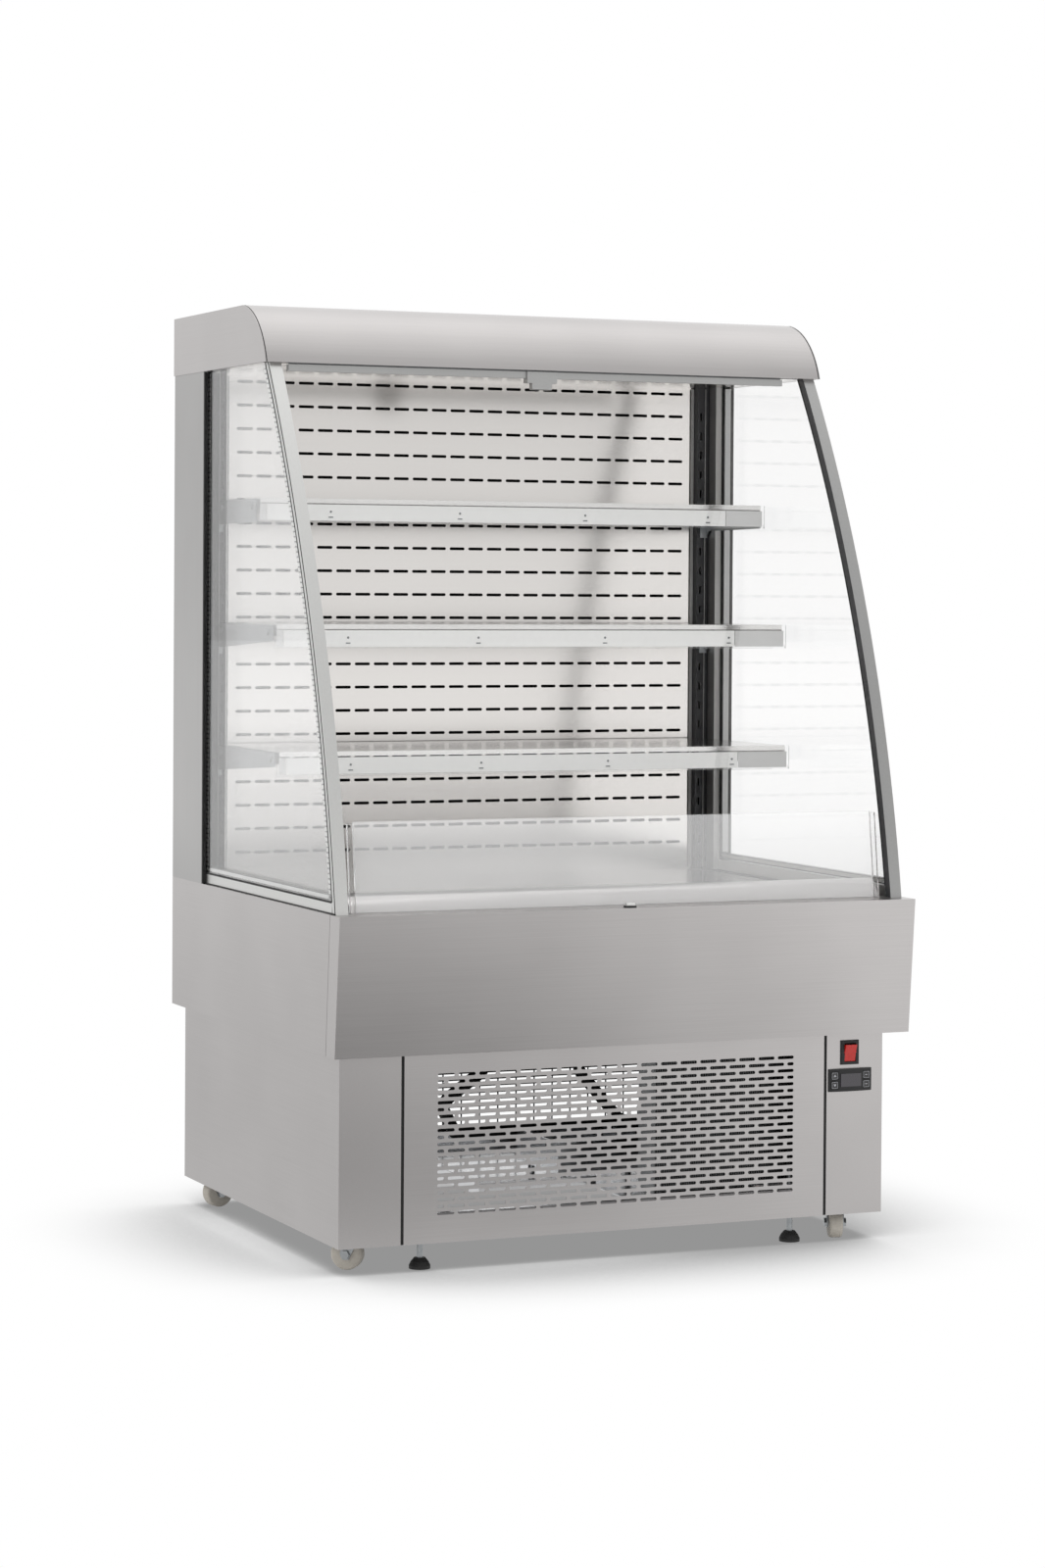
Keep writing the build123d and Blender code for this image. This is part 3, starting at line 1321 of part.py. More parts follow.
# ---------------------------------------------------------------- insulation
foam_gap = 0.3
foam_x = tub_half - sheet - foam_gap
foam_low = tub_bottom + sheet + foam_gap
foam_rear_y = rear_y - sheet - foam_gap
foam_solids = []
with BuildPart() as front_foam:
    with BuildSketch(Plane.YZ):
        with BuildLine():
            z0 = foam_low
            z1 = tub_top - sheet - foam_gap
            Polyline(
                (lean_y(z1, sheet + foam_gap), z1), (liner_front_y, z1), (liner_front_y, z0),
                (lean_y(z0, sheet + foam_gap), z0), close=True,
            )
        make_face()
    extrude(amount=foam_x, both=True)
foam_solids.extend(front_foam.part.solids())
foam_boxes = [(-foam_x, foam_x, liner_front_y, foam_rear_y, foam_low, liner_floor)]
for side in (-1, 1):
    x0, x1 = sorted((side * liner_half, side * foam_x))
    foam_boxes.append((x0, x1, liner_front_y, foam_rear_y, liner_floor, liner_top))
    x0, x1 = sorted((side * (pillar_liner_x + sheet), side * foam_x))
    y1 = rear_y - 2 - sheet
    foam_boxes.append((x0, x1, pillar_pocket_y, y1, tub_top, canopy_bottom))
foam_boxes.append((-liner_half, liner_half, liner_rear_y, foam_rear_y, liner_floor, liner_top))
foam_boxes.append((-liner_half, liner_half, liner_rear_y, foam_rear_y, liner_top, canopy_bottom))
foam_boxes.append(
    (-ceiling_half + 14, ceiling_half - 14, nose_back_y, foam_rear_y - 4, top_height - 28,
     top_height - sheet - foam_gap)
)
for index, corners in enumerate(foam_boxes):
    with BuildPart() as foam:
        slab(*corners)
        if index == 0:
            with Locations((pipe_hole[0], pipe_hole[1], liner_floor)):
                Cylinder(pipe_hole_radius, 200, mode=Mode.SUBTRACT)
            with Locations((drain[0], drain[1], liner_floor)):
                Cylinder(drain_radius, 200, mode=Mode.SUBTRACT)
    foam_solids.extend(foam.part.solids())
keep_group(foam_solids, "insulation")
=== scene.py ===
import math

import bmesh
import bpy
from mathutils import Matrix, Vector


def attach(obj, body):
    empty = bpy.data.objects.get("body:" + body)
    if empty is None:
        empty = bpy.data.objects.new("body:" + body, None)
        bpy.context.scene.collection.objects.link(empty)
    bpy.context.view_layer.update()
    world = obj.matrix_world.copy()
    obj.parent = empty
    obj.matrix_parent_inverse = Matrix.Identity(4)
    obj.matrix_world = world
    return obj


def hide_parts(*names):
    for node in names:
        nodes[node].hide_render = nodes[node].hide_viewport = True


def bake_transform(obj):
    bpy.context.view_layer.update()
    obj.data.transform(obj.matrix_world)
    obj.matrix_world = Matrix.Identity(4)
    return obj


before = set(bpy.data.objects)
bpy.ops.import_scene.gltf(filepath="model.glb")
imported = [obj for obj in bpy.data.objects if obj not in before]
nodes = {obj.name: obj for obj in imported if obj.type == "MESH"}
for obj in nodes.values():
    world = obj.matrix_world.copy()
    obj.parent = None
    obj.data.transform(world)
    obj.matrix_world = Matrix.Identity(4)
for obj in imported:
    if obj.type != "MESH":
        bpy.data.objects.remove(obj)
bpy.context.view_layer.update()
print("frame loaded:", len(nodes), "nodes")

# ---- camera, where the photograph was taken from
cameraSetup = {
    "place": (-2.4397, -5.5820, 1.0694),
    "yaw": 23.462,
    "pitch": -0.995,
    "roll": 0.369,
    "lens": 83.43,
    "shift": (-0.0019, -0.0859),
}


def makeCamera(setup):
    yaw, pitch, roll = (math.radians(setup[k]) for k in ("yaw", "pitch", "roll"))
    forward = Vector((math.sin(yaw) * math.cos(pitch), math.cos(yaw) * math.cos(pitch), math.sin(pitch)))
    level = Vector((math.cos(yaw), -math.sin(yaw), 0))
    above = level.cross(forward)
    right = level * math.cos(roll) + above * math.sin(roll)
    up = above * math.cos(roll) - level * math.sin(roll)
    data = bpy.data.cameras.new("photoCamera")
    data.lens = setup["lens"]
    data.sensor_width = 36
    data.shift_x, data.shift_y = setup["shift"]
    data.clip_start, data.clip_end = 0.1, 200
    camera = bpy.data.objects.new("photoCamera", data)
    turn = Matrix((right, up, -forward)).transposed().to_4x4()
    camera.matrix_world = Matrix.Translation(setup["place"]) @ turn
    bpy.context.scene.collection.objects.link(camera)
    bpy.context.scene.camera = camera


makeCamera(cameraSetup)
print("camera placed")


# ---- small helpers
def linear(hexColour):
    channels = [int(hexColour[i:i + 2], 16) / 255 for i in (1, 3, 5)]
    curve = [c / 12.92 if c <= 0.04045 else ((c + 0.055) / 1.055) ** 2.4 for c in channels]
    return (*curve, 1.0)


def addNode(tree, kind, props=None, values=None, links=None):
    node = tree.nodes.new(kind)
    for name, value in (props or {}).items():
        setattr(node, name, value)
    for name, value in (values or {}).items():
        node.inputs[name].default_value = value
    for name, source in (links or {}).items():
        tree.links.new(source, node.inputs[name])
    return node


def startMaterial(name, colour, values):
    material = bpy.data.materials.new(name)
    material.use_nodes = True
    tree = material.node_tree
    shader = tree.nodes["Principled BSDF"]
    shader.inputs["Base Color"].default_value = linear(colour)
    for key, value in values.items():
        shader.inputs[key].default_value = value
    material.diffuse_color = linear(colour)
    return material, tree, shader


def objectPlace(tree, scale):
    coords = addNode(tree, "ShaderNodeTexCoord")
    return addNode(tree, "ShaderNodeMapping", values={"Scale": scale},
                   links={"Vector": coords.outputs["Object"]}).outputs["Vector"]


def spread(tree, factor, low, high):
    return addNode(tree, "ShaderNodeMapRange", values={"To Min": low, "To Max": high},
                   links={"Value": factor}).outputs["Result"]


def tint(tree, factor, first, second):
    mixer = addNode(tree, "ShaderNodeMix", {"data_type": "RGBA"})
    tree.links.new(factor, mixer.inputs["Factor"])
    ends = {"A": linear(first), "B": linear(second)}
    for socket in mixer.inputs:
        if socket.name in ends and socket.type == "RGBA":
            socket.default_value = ends[socket.name]
    return [s for s in mixer.outputs if s.type == "RGBA"][0]


# ---- metals
# The real grain is some 0.2 mm wide and doesn't show from six metres, so it is drawn 1 mm wide and very faint.
# Waves per metre along x, y and z: streaks some 200 mm long one way and 1 mm the other two ways.
alongX, alongZ, alongY, alongXShort = (5, 900, 900), (900, 900, 5), (900, 5, 900), (6, 900, 900)
steelLooks = {
    "acrossGrain": {"grain": alongX, "dark": "#BAB7B6", "light": "#C3C0BF", "rough": (0.27, 0.33), "turn": 0.25},
    "uprightGrain": {"grain": alongZ, "dark": "#ADACAB", "light": "#B6B5B4", "rough": (0.27, 0.33), "turn": 0.0},
    "sideGrain": {"grain": alongY, "dark": "#BAB7B6", "light": "#C2BFBE", "rough": (0.28, 0.34), "turn": 0.25},
    "liningGrain": {"grain": alongXShort, "dark": "#DDDAD7", "light": "#E0DDDA", "rough": (0.15, 0.18), "turn": 0.25},
    "deckGrain": {"grain": alongXShort, "dark": "#A5A4A2", "light": "#AEADAB", "rough": (0.20, 0.26), "turn": 0.25},
    "polishedGrain": {"grain": alongXShort, "dark": "#D0CFCD", "light": "#DAD9D7", "rough": (0.12, 0.18), "turn": 0.25},
}


def brushedSteel(name, look):
    # Stainless sheet with a rolled and brushed face: long fine lines that stretch reflections across them.
    material, tree, shader = startMaterial(name, look["light"], {
        "Metallic": 1.0, "Anisotropic": 0.35, "Anisotropic Rotation": look["turn"]})
    lines = addNode(tree, "ShaderNodeTexNoise", values={"Scale": 1.0, "Detail": 3.0, "Roughness": 0.6},
                    links={"Vector": objectPlace(tree, look["grain"])})
    clouds = addNode(tree, "ShaderNodeTexNoise", values={"Scale": 4.0, "Detail": 2.0},
                     links={"Vector": objectPlace(tree, (1, 1, 1))})
    both = addNode(tree, "ShaderNodeMath", {"operation": "ADD"}, links={0: lines.outputs[0], 1: clouds.outputs[0]})
    wide = addNode(tree, "ShaderNodeMapRange", values={"From Min": 0.7, "From Max": 1.3},
                   links={"Value": both.outputs[0]})
    tree.links.new(tint(tree, wide.outputs["Result"], look["dark"], look["light"]), shader.inputs["Base Color"])
    tree.links.new(spread(tree, lines.outputs[0], *look["rough"]), shader.inputs["Roughness"])
    bump = addNode(tree, "ShaderNodeBump", values={"Strength": 0.03, "Distance": 0.0001},
                   links={"Height": lines.outputs[0]})
    tree.links.new(bump.outputs["Normal"], shader.inputs["Normal"])
    return material


frontSteel = brushedSteel("stainlessBrushedAcross", steelLooks["acrossGrain"])
uprightSteel = brushedSteel("stainlessBrushedUpright", steelLooks["uprightGrain"])
sideSteel = brushedSteel("stainlessBrushedSideways", steelLooks["sideGrain"])
liningSteel = brushedSteel("stainlessLining", steelLooks["liningGrain"])
deckSteel = brushedSteel("stainlessDeckRolled", steelLooks["deckGrain"])
polishedSteel = brushedSteel("stainlessBrightRolled", steelLooks["polishedGrain"])


def cloudedMaterial(name, dark, light, values, size, rough, bumpDepth=0.0):
    # Soft mottling of colour and gloss at one real size in millimetres.
    material, tree, shader = startMaterial(name, light, values)
    clouds = addNode(tree, "ShaderNodeTexNoise", values={"Scale": 1.0, "Detail": 3.0, "Roughness": 0.55},
                     links={"Vector": objectPlace(tree, (1000 / size,) * 3)})
    tree.links.new(tint(tree, clouds.outputs[0], dark, light), shader.inputs["Base Color"])
    tree.links.new(spread(tree, clouds.outputs[0], *rough), shader.inputs["Roughness"])
    if bumpDepth:
        bump = addNode(tree, "ShaderNodeBump", values={"Strength": 0.4, "Distance": bumpDepth},
                       links={"Height": clouds.outputs[0]})
        tree.links.new(bump.outputs["Normal"], shader.inputs["Normal"])
    return material


# zinc-plated steel: bluish grey with a soft spangle of 6 mm
zincSteel = cloudedMaterial("zincPlatedSteel", "#8E9194", "#B4B7B8", {"Metallic": 1.0}, 6, (0.28, 0.46))
# satin anodised aluminium: even, pale, slightly warm, with a matt glow
satinAluminium = cloudedMaterial("aluminiumSatinAnodised", "#D6D6D4", "#E2E2E0", {"Metallic": 1.0}, 3, (0.34, 0.42))
# the same anodising drawn greyer as painted shade, for the bar, which hangs in shadow under the canopy. The right
# profile and spacer have it only to match the photograph's view, as painted shade. On the real cabinet they are surely
# like the left ones.
paintedShadeAluminium = cloudedMaterial("aluminiumSatinPaintedShade", "#ABABAA", "#B8B8B7", {"Metallic": 1.0}, 3, (0.34, 0.42))
# bead-blasted aluminium: no clear reflection, only a wide pale glow
trimAluminium = cloudedMaterial("aluminiumBeadBlasted", "#DADAD8", "#E4E4E2", {"Metallic": 1.0}, 3, (0.55, 0.65))
# bright zinc sheet, glossy and nearly even: picked for how the trays and low tubes look from the front
panZinc = cloudedMaterial("zincSheetBright", "#D6D7D9", "#E2E3E4", {"Metallic": 1.0}, 9, (0.10, 0.20))
# bare aluminium fins: a dull mid grey, slightly patchy
finAluminium = cloudedMaterial("aluminiumMillFinish", "#7F8183", "#A5A7A8", {"Metallic": 1.0}, 2, (0.35, 0.5))
# copper tube, dulled by handling
dullCopper = cloudedMaterial("copperTubeDulled", "#8A5035", "#B87350", {"Metallic": 1.0}, 12, (0.25, 0.45))

# ---- plastics, rubber and paint
# powder-coated steel: fine orange peel, a soft black that never goes fully dark
blackPowder = cloudedMaterial("steelPowderCoatedBlack", "#1B1B1C", "#262627", {}, 2, (0.42, 0.55), 0.00004)
# the same coating in graphite, a shade lighter and a little glossier. On the inner side of the right profile it stands
# as painted shade.
graphiteAndShade = cloudedMaterial("graphiteCoatAndPaintedShade", "#2B2B2C", "#37373A", {}, 2, (0.35, 0.45), 0.00004)
# black ABS, moulded with a fine spark texture
blackPlastic = cloudedMaterial("absMouldedBlack", "#101011", "#1A1A1B", {}, 1.5, (0.38, 0.5), 0.00003)
# foam rubber tube round the cold line: soft matt black with hardly a highlight
foamRubber = cloudedMaterial("foamRubberBlack", "#151515", "#202020", {}, 4, (0.75, 0.9), 0.0002)
# extruded rubber seals: deep black with a dull sheen. The same black is painted shadow at the glass's rear edges, in
# the canopy seams and on the far wall of the air duct.
blackSealAndShadow = cloudedMaterial("epdmSealAndPaintedShadow", "#0B0B0B", "#131313", {}, 3, (0.5, 0.65))
# grey thermoplastic rubber tyre, dusty from rolling
greyTyre = cloudedMaterial("tyreGreyRubber", "#A8A298", "#BDB8AF", {}, 9, (0.6, 0.8), 0.00005)
# moulded black rubber pads: patchy, part scuffed dull
footRubber = cloudedMaterial("footRubberBlack", "#0E0E0E", "#1C1B1A", {}, 5, (0.5, 0.75), 0.00005)
# mid-grey moulded ABS of the fans and label clips: even and half matt
greyPlastic = cloudedMaterial("absMouldedGrey", "#5B5E60", "#6C6F71", {}, 3, (0.35, 0.5))
# glossy black polycarbonate keys under a thin clear coat
glossBlack = cloudedMaterial("pcLensGlossBlack", "#08070A", "#0D0B10",
                             {"Coat Weight": 0.5, "Coat Roughness": 0.05}, 10, (0.10, 0.16))
# card inserts, white along the rail and grey at its ends: matt and even
labelCard = cloudedMaterial("cardLabelWhite", "#DADAD8", "#E3E3E1", {}, 8, (0.55, 0.65))
insertCard = cloudedMaterial("cardInsertGrey", "#BBBBBA", "#C5C5C4", {}, 8, (0.45, 0.55))
# white PVC trim: half matt, slightly warm
whiteTrim = cloudedMaterial("pvcTrimWhite", "#D6D5D3", "#DEDDDB", {}, 6, (0.35, 0.45))
# rigid foam, drawn black as painted shade where it shows through the slots: fully matt, fine open grain
puFoam = cloudedMaterial("foamPaintedShadeBlack", "#1A1918", "#262422", {}, 5, (0.8, 0.95), 0.0002)
# blind film: pale blue grey with a soft sheen
blindFilm = cloudedMaterial("blindFilmGrey", "#B4B7B9", "#C4C7C9", {}, 14, (0.35, 0.5))


def perforatedSpacer(look):
    # Roll-formed aluminium spacer bar of the double glazing: bright, with a row of dark slits for its drying agent.
    # Such slits are usually some 4 mm apart. They are drawn 8 mm apart so that they show.
    material, tree, shader = startMaterial("aluminiumSpacerPerforated", look["bright"], {
        "Metallic": 1.0, "Roughness": 0.3})
    coords = addNode(tree, "ShaderNodeTexCoord")
    height = addNode(tree, "ShaderNodeSeparateXYZ", links={0: coords.outputs["Object"]}).outputs[2]
    turns = addNode(tree, "ShaderNodeMath", {"operation": "MULTIPLY"}, {1: 1000 / look["pitch"]}, {0: height})
    part = addNode(tree, "ShaderNodeMath", {"operation": "FRACT"}, links={0: turns.outputs[0]})
    slit = addNode(tree, "ShaderNodeMath", {"operation": "LESS_THAN"}, {1: look["slit"] / look["pitch"]},
                   {0: part.outputs[0]})
    tree.links.new(tint(tree, slit.outputs[0], look["bright"], look["dark"]), shader.inputs["Base Color"])
    return material


spacerAluminium = perforatedSpacer({"bright": "#DCDCDA", "dark": "#6E6E6E", "pitch": 8.0, "slit": 2.2})


def redLens():
    # Tinted clear polycarbonate over a neon: saturated, glossy, light passes the edges.
    material, tree, shader = startMaterial("pcTintedRed", "#C61A10", {
        "Roughness": 0.12, "IOR": 1.58, "Transmission Weight": 0.35, "Emission Strength": 0.15})
    shader.inputs["Emission Color"].default_value = linear("#C61A10")
    ripple = addNode(tree, "ShaderNodeTexNoise", values={"Scale": 1.0},
                     links={"Vector": objectPlace(tree, (300, 300, 300))})
    tree.links.new(tint(tree, ripple.outputs[0], "#A81209", "#D8261A"), shader.inputs["Base Color"])
    return material


def clearSheet(name, colour, ior, rough, veil, clear=1.0):
    # Clear sheet: sharp reflections and refraction, and its shadow lets nearly all light through.
    material, tree, shader = startMaterial(name, colour, {
        "IOR": ior, "Roughness": rough, "Transmission Weight": clear})
    output = [n for n in tree.nodes if n.type == "OUTPUT_MATERIAL"][0]
    path = addNode(tree, "ShaderNodeLightPath")
    see = addNode(tree, "ShaderNodeBsdfTransparent")
    see.inputs["Color"].default_value = (veil, veil, veil, 1)
    both = addNode(tree, "ShaderNodeMath", {"operation": "MAXIMUM"},
                   links={0: path.outputs["Is Shadow Ray"], 1: path.outputs["Is Diffuse Ray"]})
    mixer = addNode(tree, "ShaderNodeMixShader", links={0: both.outputs[0], 1: shader.outputs[0], 2: see.outputs[0]})
    tree.links.new(mixer.outputs[0], output.inputs["Surface"])
    return material


redPlastic = redLens()
# The two side glasses are surely alike on the real cabinet, with an IOR near 1.5. These two are set apart only to
# match the photograph's own view, so from other angles the left one looks greyer.
floatGlass = clearSheet("floatGlassLowReflection", "#FFFFFF", 1.2, 0.0, 0.97)
leftGlass = clearSheet("floatGlassCoated", "#FFFFFF", 1.5, 0.0, 0.96)
riserGlass = clearSheet("floatGlassRiser", "#FFFFFF", 1.5, 0.0, 0.95, 0.80)
clearAcrylic = clearSheet("acrylicExtrudedClear", "#FEFEFE", 1.49, 0.02, 0.96)
print("materials made")

nodeMaterials = {
    frontSteel: ["grille_panel", "front_panel", "canopy_skin", "rear_panel", "air_return_lip"],
    sideSteel: ["base_side_left", "base_side_right", "tub_side_left", "tub_side_right", "canopy_ends"],
    uprightSteel: ["pillar_left", "pillar_right"],
    liningSteel: ["back_panel", "tub_liner", "canopy_ceiling"],
    deckSteel: ["deck_trays"],
    polishedSteel: ["shelf_top", "shelf_middle", "shelf_bottom"],
    zincSteel: ["base_frame", "shelf_brackets", "castor_plates", "castor_fork_fl", "castor_fork_fr", "castor_fork_rl",
                "castor_fork_rr"],
    paintedShadeAluminium: ["front_profile_right", "blind_bar"],
    satinAluminium: ["front_profile_left", "bottom_profiles", "blind_roller"],
    finAluminium: ["condenser", "evaporator"],
    blackPowder: ["rear_guard", "compressor"],
    graphiteAndShade: ["uprights"],
    greyTyre: ["castor_wheel_fl", "castor_wheel_fr", "castor_wheel_rl", "castor_wheel_rr"],
    footRubber: ["foot_left", "foot_right"],
    greyPlastic: ["condenser_fan", "evaporator_fan"],
    panZinc: ["drip_tray"],
    blackPlastic: ["rocker_bezel", "blind_catch", "controller"],
    glossBlack: ["key_up", "key_down", "key_set", "key_light"],
    redPlastic: ["rocker"],
    floatGlass: ["side_glass_right"],
    leftGlass: ["side_glass_left"],
    riserGlass: ["riser_glass"],
    clearAcrylic: ["ticket_rails"],
    puFoam: ["insulation"],
    blindFilm: ["blind_film"],
    foamRubber: ["pipework"],
}
for material, names in nodeMaterials.items():
    for name in names:
        nodes[name].data.materials.clear()
        nodes[name].data.materials.append(material)
missing = sorted(set(nodes) - {n for names in nodeMaterials.values() for n in names})
print("nodes with no material:", missing)


def splitMaterial(node, second, test):
    # A node with two finishes: the faces whose centre and normal pass the test take the second one.
    mesh = nodes[node].data
    mesh.materials.append(second)
    for face in mesh.polygons:
        if test(face.center, face.normal):
            face.material_index = 1


thinLine = {"y": 0.08, "z": 0.318, "reach": 0.007}


def isCopper(c, n):
    # Bare: the drier and the lines at the front right, and the thin line's run across the base.
    # The rest, the wrapped cold line and the drain hose, stays black.
    return (c.x > 0.23 and c.y < 0.07) or abs(c.z - thinLine["z"]) + abs(c.y - thinLine["y"]) < thinLine["reach"]


splitMaterial("pipework", dullCopper, isCopper)
splitMaterial("base_frame", panZinc, lambda c, n: c.z < 0.1005)   # tray and low tubes
for pillar in ("pillar_left", "pillar_right"):   # the strip beside the glass
    splitMaterial(pillar, trimAluminium, lambda c, n: 0.463 < abs(c.x) < 0.4735 and c.y < 0.2595)
splitMaterial("blind_catch", satinAluminium, lambda c, n: c.z > 0.5672)   # dome
# painted shade: the inner side of the right profile is drawn dark, as it looks in shadow beside the glass from the
# front
splitMaterial("front_profile_right", graphiteAndShade, lambda c, n: n.x < -0.7 and c.x < 0.48)
for foot in ("foot_left", "foot_right"):
    splitMaterial(foot, zincSteel, lambda c, n: c.z > 0.0172)   # stem and nut above the rubber pad


# ---- pieces built in mesh code
def newPiece(name, bm, material, body="cabinet", bevel=0.0):
    mesh = bpy.data.meshes.new(name)
    bmesh.ops.recalc_face_normals(bm, faces=bm.faces)
    bm.to_mesh(mesh)
    bm.free()
    mesh.materials.append(material)
    piece = bpy.data.objects.new(name, mesh)
    bpy.context.scene.collection.objects.link(piece)
    if bevel:
        edge = piece.modifiers.new("softEdge", "BEVEL")
        edge.width = bevel
        edge.segments = 2
        edge.limit_method = "ANGLE"
    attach(piece, body)
    return piece


def addBox(bm, low, high):
    corners = [Vector((x, y, z)) / 1000 for x in (low[0], high[0]) for y in (low[1], high[1])
               for z in (low[2], high[2])]
    verts = [bm.verts.new(c) for c in corners]
    for face in ((0, 1, 3, 2), (4, 6, 7, 5), (0, 4, 5, 1), (2, 3, 7, 6), (0, 2, 6, 4), (1, 5, 7, 3)):
        bm.faces.new([verts[i] for i in face])


def addStrip(bm, xs, ys, zs):
    addBox(bm, (xs[0], ys[0], zs[0]), (xs[1], ys[1], zs[1]))


def span(side, first, second):
    return sorted((side * first, side * second))   # one side's pair of x values, low then high


def addPrism(bm, outline, low, high, axis):
    # A closed outline in the plane across one axis, pulled along that axis.
    def place(pair, along):
        point = list(pair)
        point.insert(axis, along)
        return Vector(point) / 1000
    near = [bm.verts.new(place(p, low)) for p in outline]
    far = [bm.verts.new(place(p, high)) for p in outline]
    bm.faces.new(near)
    bm.faces.new(list(reversed(far)))
    for i in range(len(outline)):
        j = (i + 1) % len(outline)
        bm.faces.new([near[i], far[i], far[j], near[j]])


# front edge of the side glass, the same arc as the solids follow
glassArc = {"y": 1898.5, "z": 209.4, "radius": 2303.3}


def arcY(z, inset):
    return glassArc["y"] - math.sqrt((glassArc["radius"] - inset) ** 2 - (z - glassArc["z"]) ** 2)


def addArcStrip(bm, insetFront, insetRear, xLow, xHigh, zLow, zHigh, steps=40):
    zs = [zLow + (zHigh - zLow) * i / steps for i in range(steps + 1)]
    outline = [(arcY(z, insetFront), z) for z in zs] + [(arcY(z, insetRear), z) for z in reversed(zs)]
    addPrism(bm, outline, xLow, xHigh, 0)


glazing = {
    "outer": 493.0, "inner": 473.0, "pane": 4.0, "low": 582.0, "top": 1426.5, "between": (477.2, 488.8),
    "seal": (15.4, 18.4), "edgeSeal": (4.0, 7.0), "edgeLow": 566, "film": 0.25, "lip": 0.2,
    "sill": ((-356, 253), (580.6, 583.8)), "gasket": ((-372, 253), (564.05, 565.8)), "gasketProud": 1.6,
    "rearSeal": ((250.5, 253.9), (564.2, 1426.5)), "rearSealFrom": 0.3, "rearSealEnd": 499.2,
    "spacerArc": {-1: (24.0, 32.0), 1: (15.6, 18.2)},
    "spacerLeft": (243.3, 258), "spacerRight": (245, 258), "shadowLeft": (229, 243),
}
outer, inner, film, lip = (glazing[k] for k in ("outer", "inner", "film", "lip"))
low, top = glazing["low"], glazing["top"]
bm = bmesh.new()
for side in (-1, 1):
    for xs in (span(side, outer - glazing["pane"] + lip, outer + film),
               span(side, inner - film, inner + glazing["pane"] - lip)):
        addArcStrip(bm, *glazing["seal"], *xs, low, top)
    xs = span(side, outer, outer + film)
    addArcStrip(bm, *glazing["edgeSeal"], *xs, glazing["edgeLow"], top)
    addStrip(bm, xs, *glazing["sill"])
    addStrip(bm, span(side, outer, outer + glazing["gasketProud"]), *glazing["gasket"])
    addStrip(bm, span(side, outer + glazing["rearSealFrom"], glazing["rearSealEnd"]), *glazing["rearSeal"])
newPiece("glassSeals", bm, blackSealAndShadow)

bm = bmesh.new()
for side in (-1, 1):
    xs = span(side, *glazing["between"])
    addArcStrip(bm, *glazing["spacerArc"][side], *xs, low + 9, top - 2)
    addBox(bm, (xs[0], -340, low + 4), (xs[1], 268, low + 12))


def addRearStrip(bm, side, ys):
    addStrip(bm, span(side, *glazing["between"]), ys, (glazing["low"] + 13, glazing["top"] - 2))


addRearStrip(bm, -1, glazing["spacerLeft"])
newPiece("glassSpacers", bm, spacerAluminium, bevel=0.0004)
bm = bmesh.new()
addRearStrip(bm, 1, glazing["spacerRight"])
newPiece("glassSpacerRight", bm, paintedShadeAluminium, bevel=0.0004)

# on the inner side of the right glass, at its rear edge: white trim, then a black line of painted shadow in front of
# it. Between the left panes, in front of the spacer, a black strip of painted shadow.
bm = bmesh.new()
addBox(bm, (472.6, 252.7, low), (472.95, 257.8, top))
addBox(bm, (464, 257.4, low), (472.5, 257.9, top))
newPiece("glassTrimStrip", bm, whiteTrim)
bm = bmesh.new()
addRearStrip(bm, -1, glazing["shadowLeft"])
addBox(bm, (472.6, 245, low), (472.95, 252.6, top))
newPiece("glassEdgeShadow", bm, blackSealAndShadow)
print("glazing trim made")

# ---- night blind film, which stretches down from the roller as the bar is pulled
blind = {"left": -457, "right": 435, "y": -45.0, "top": 1453.0, "bottom": 1425.0, "thick": 0.3, "rows": 6}


def makeFilm(look):
    bm = bmesh.new()
    rings = []
    for i in range(look["rows"] + 1):
        z = look["top"] + (look["bottom"] - look["top"]) * i / look["rows"]
        rings.append([bm.verts.new(Vector((x, y, z)) / 1000) for x, y in (
            (look["left"], look["y"] - look["thick"]), (look["right"], look["y"] - look["thick"]),
            (look["right"], look["y"]), (look["left"], look["y"]))])
    for above, below in zip(rings, rings[1:]):
        for i in range(4):
            bm.faces.new([above[i], above[(i + 1) % 4], below[(i + 1) % 4], below[i]])
    bm.faces.new(rings[0])
    bm.faces.new(list(reversed(rings[-1])))
    bmesh.ops.recalc_face_normals(bm, faces=bm.faces)
    mesh = bpy.data.meshes.new("blindFilmSheet")
    bm.to_mesh(mesh)
    bm.free()
    mesh.materials.append(blindFilm)
    sheet = bpy.data.objects.new("blindFilmSheet", mesh)
    bpy.context.scene.collection.objects.link(sheet)
    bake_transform(sheet)
    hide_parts("blind_film")


makeFilm(blind)

# ---- dark seams beside the grille
bm = bmesh.new()
for side in (-1, 1):
    xs = span(side, 368.3, 372.5)
    addBox(bm, (xs[0], -346.4, 45), (xs[1], -343.6, 343.2))
newPiece("baseSeamStrips", bm, blackSealAndShadow)

# ---- label strips in the ticket rails
shelves = [
    {"top": 1212.5, "rail": 64.0, "end": 388.0},
    {"top": 1005.5, "rail": -20.0, "end": 365.0},
    {"top": 798.5, "rail": -35.0, "end": 365.0},
]
card = {
    "left": -447, "far": 459, "in": (2.3, 3.0), "down": (37, 10),
    "clips": (-341, -110, 121, 354), "clipIn": 1.9, "clipRound": 2,
}


def addCard(bm, shelf, left, right):
    addStrip(bm, (left, right), [shelf["rail"] + d for d in card["in"]], [shelf["top"] - d for d in card["down"]])


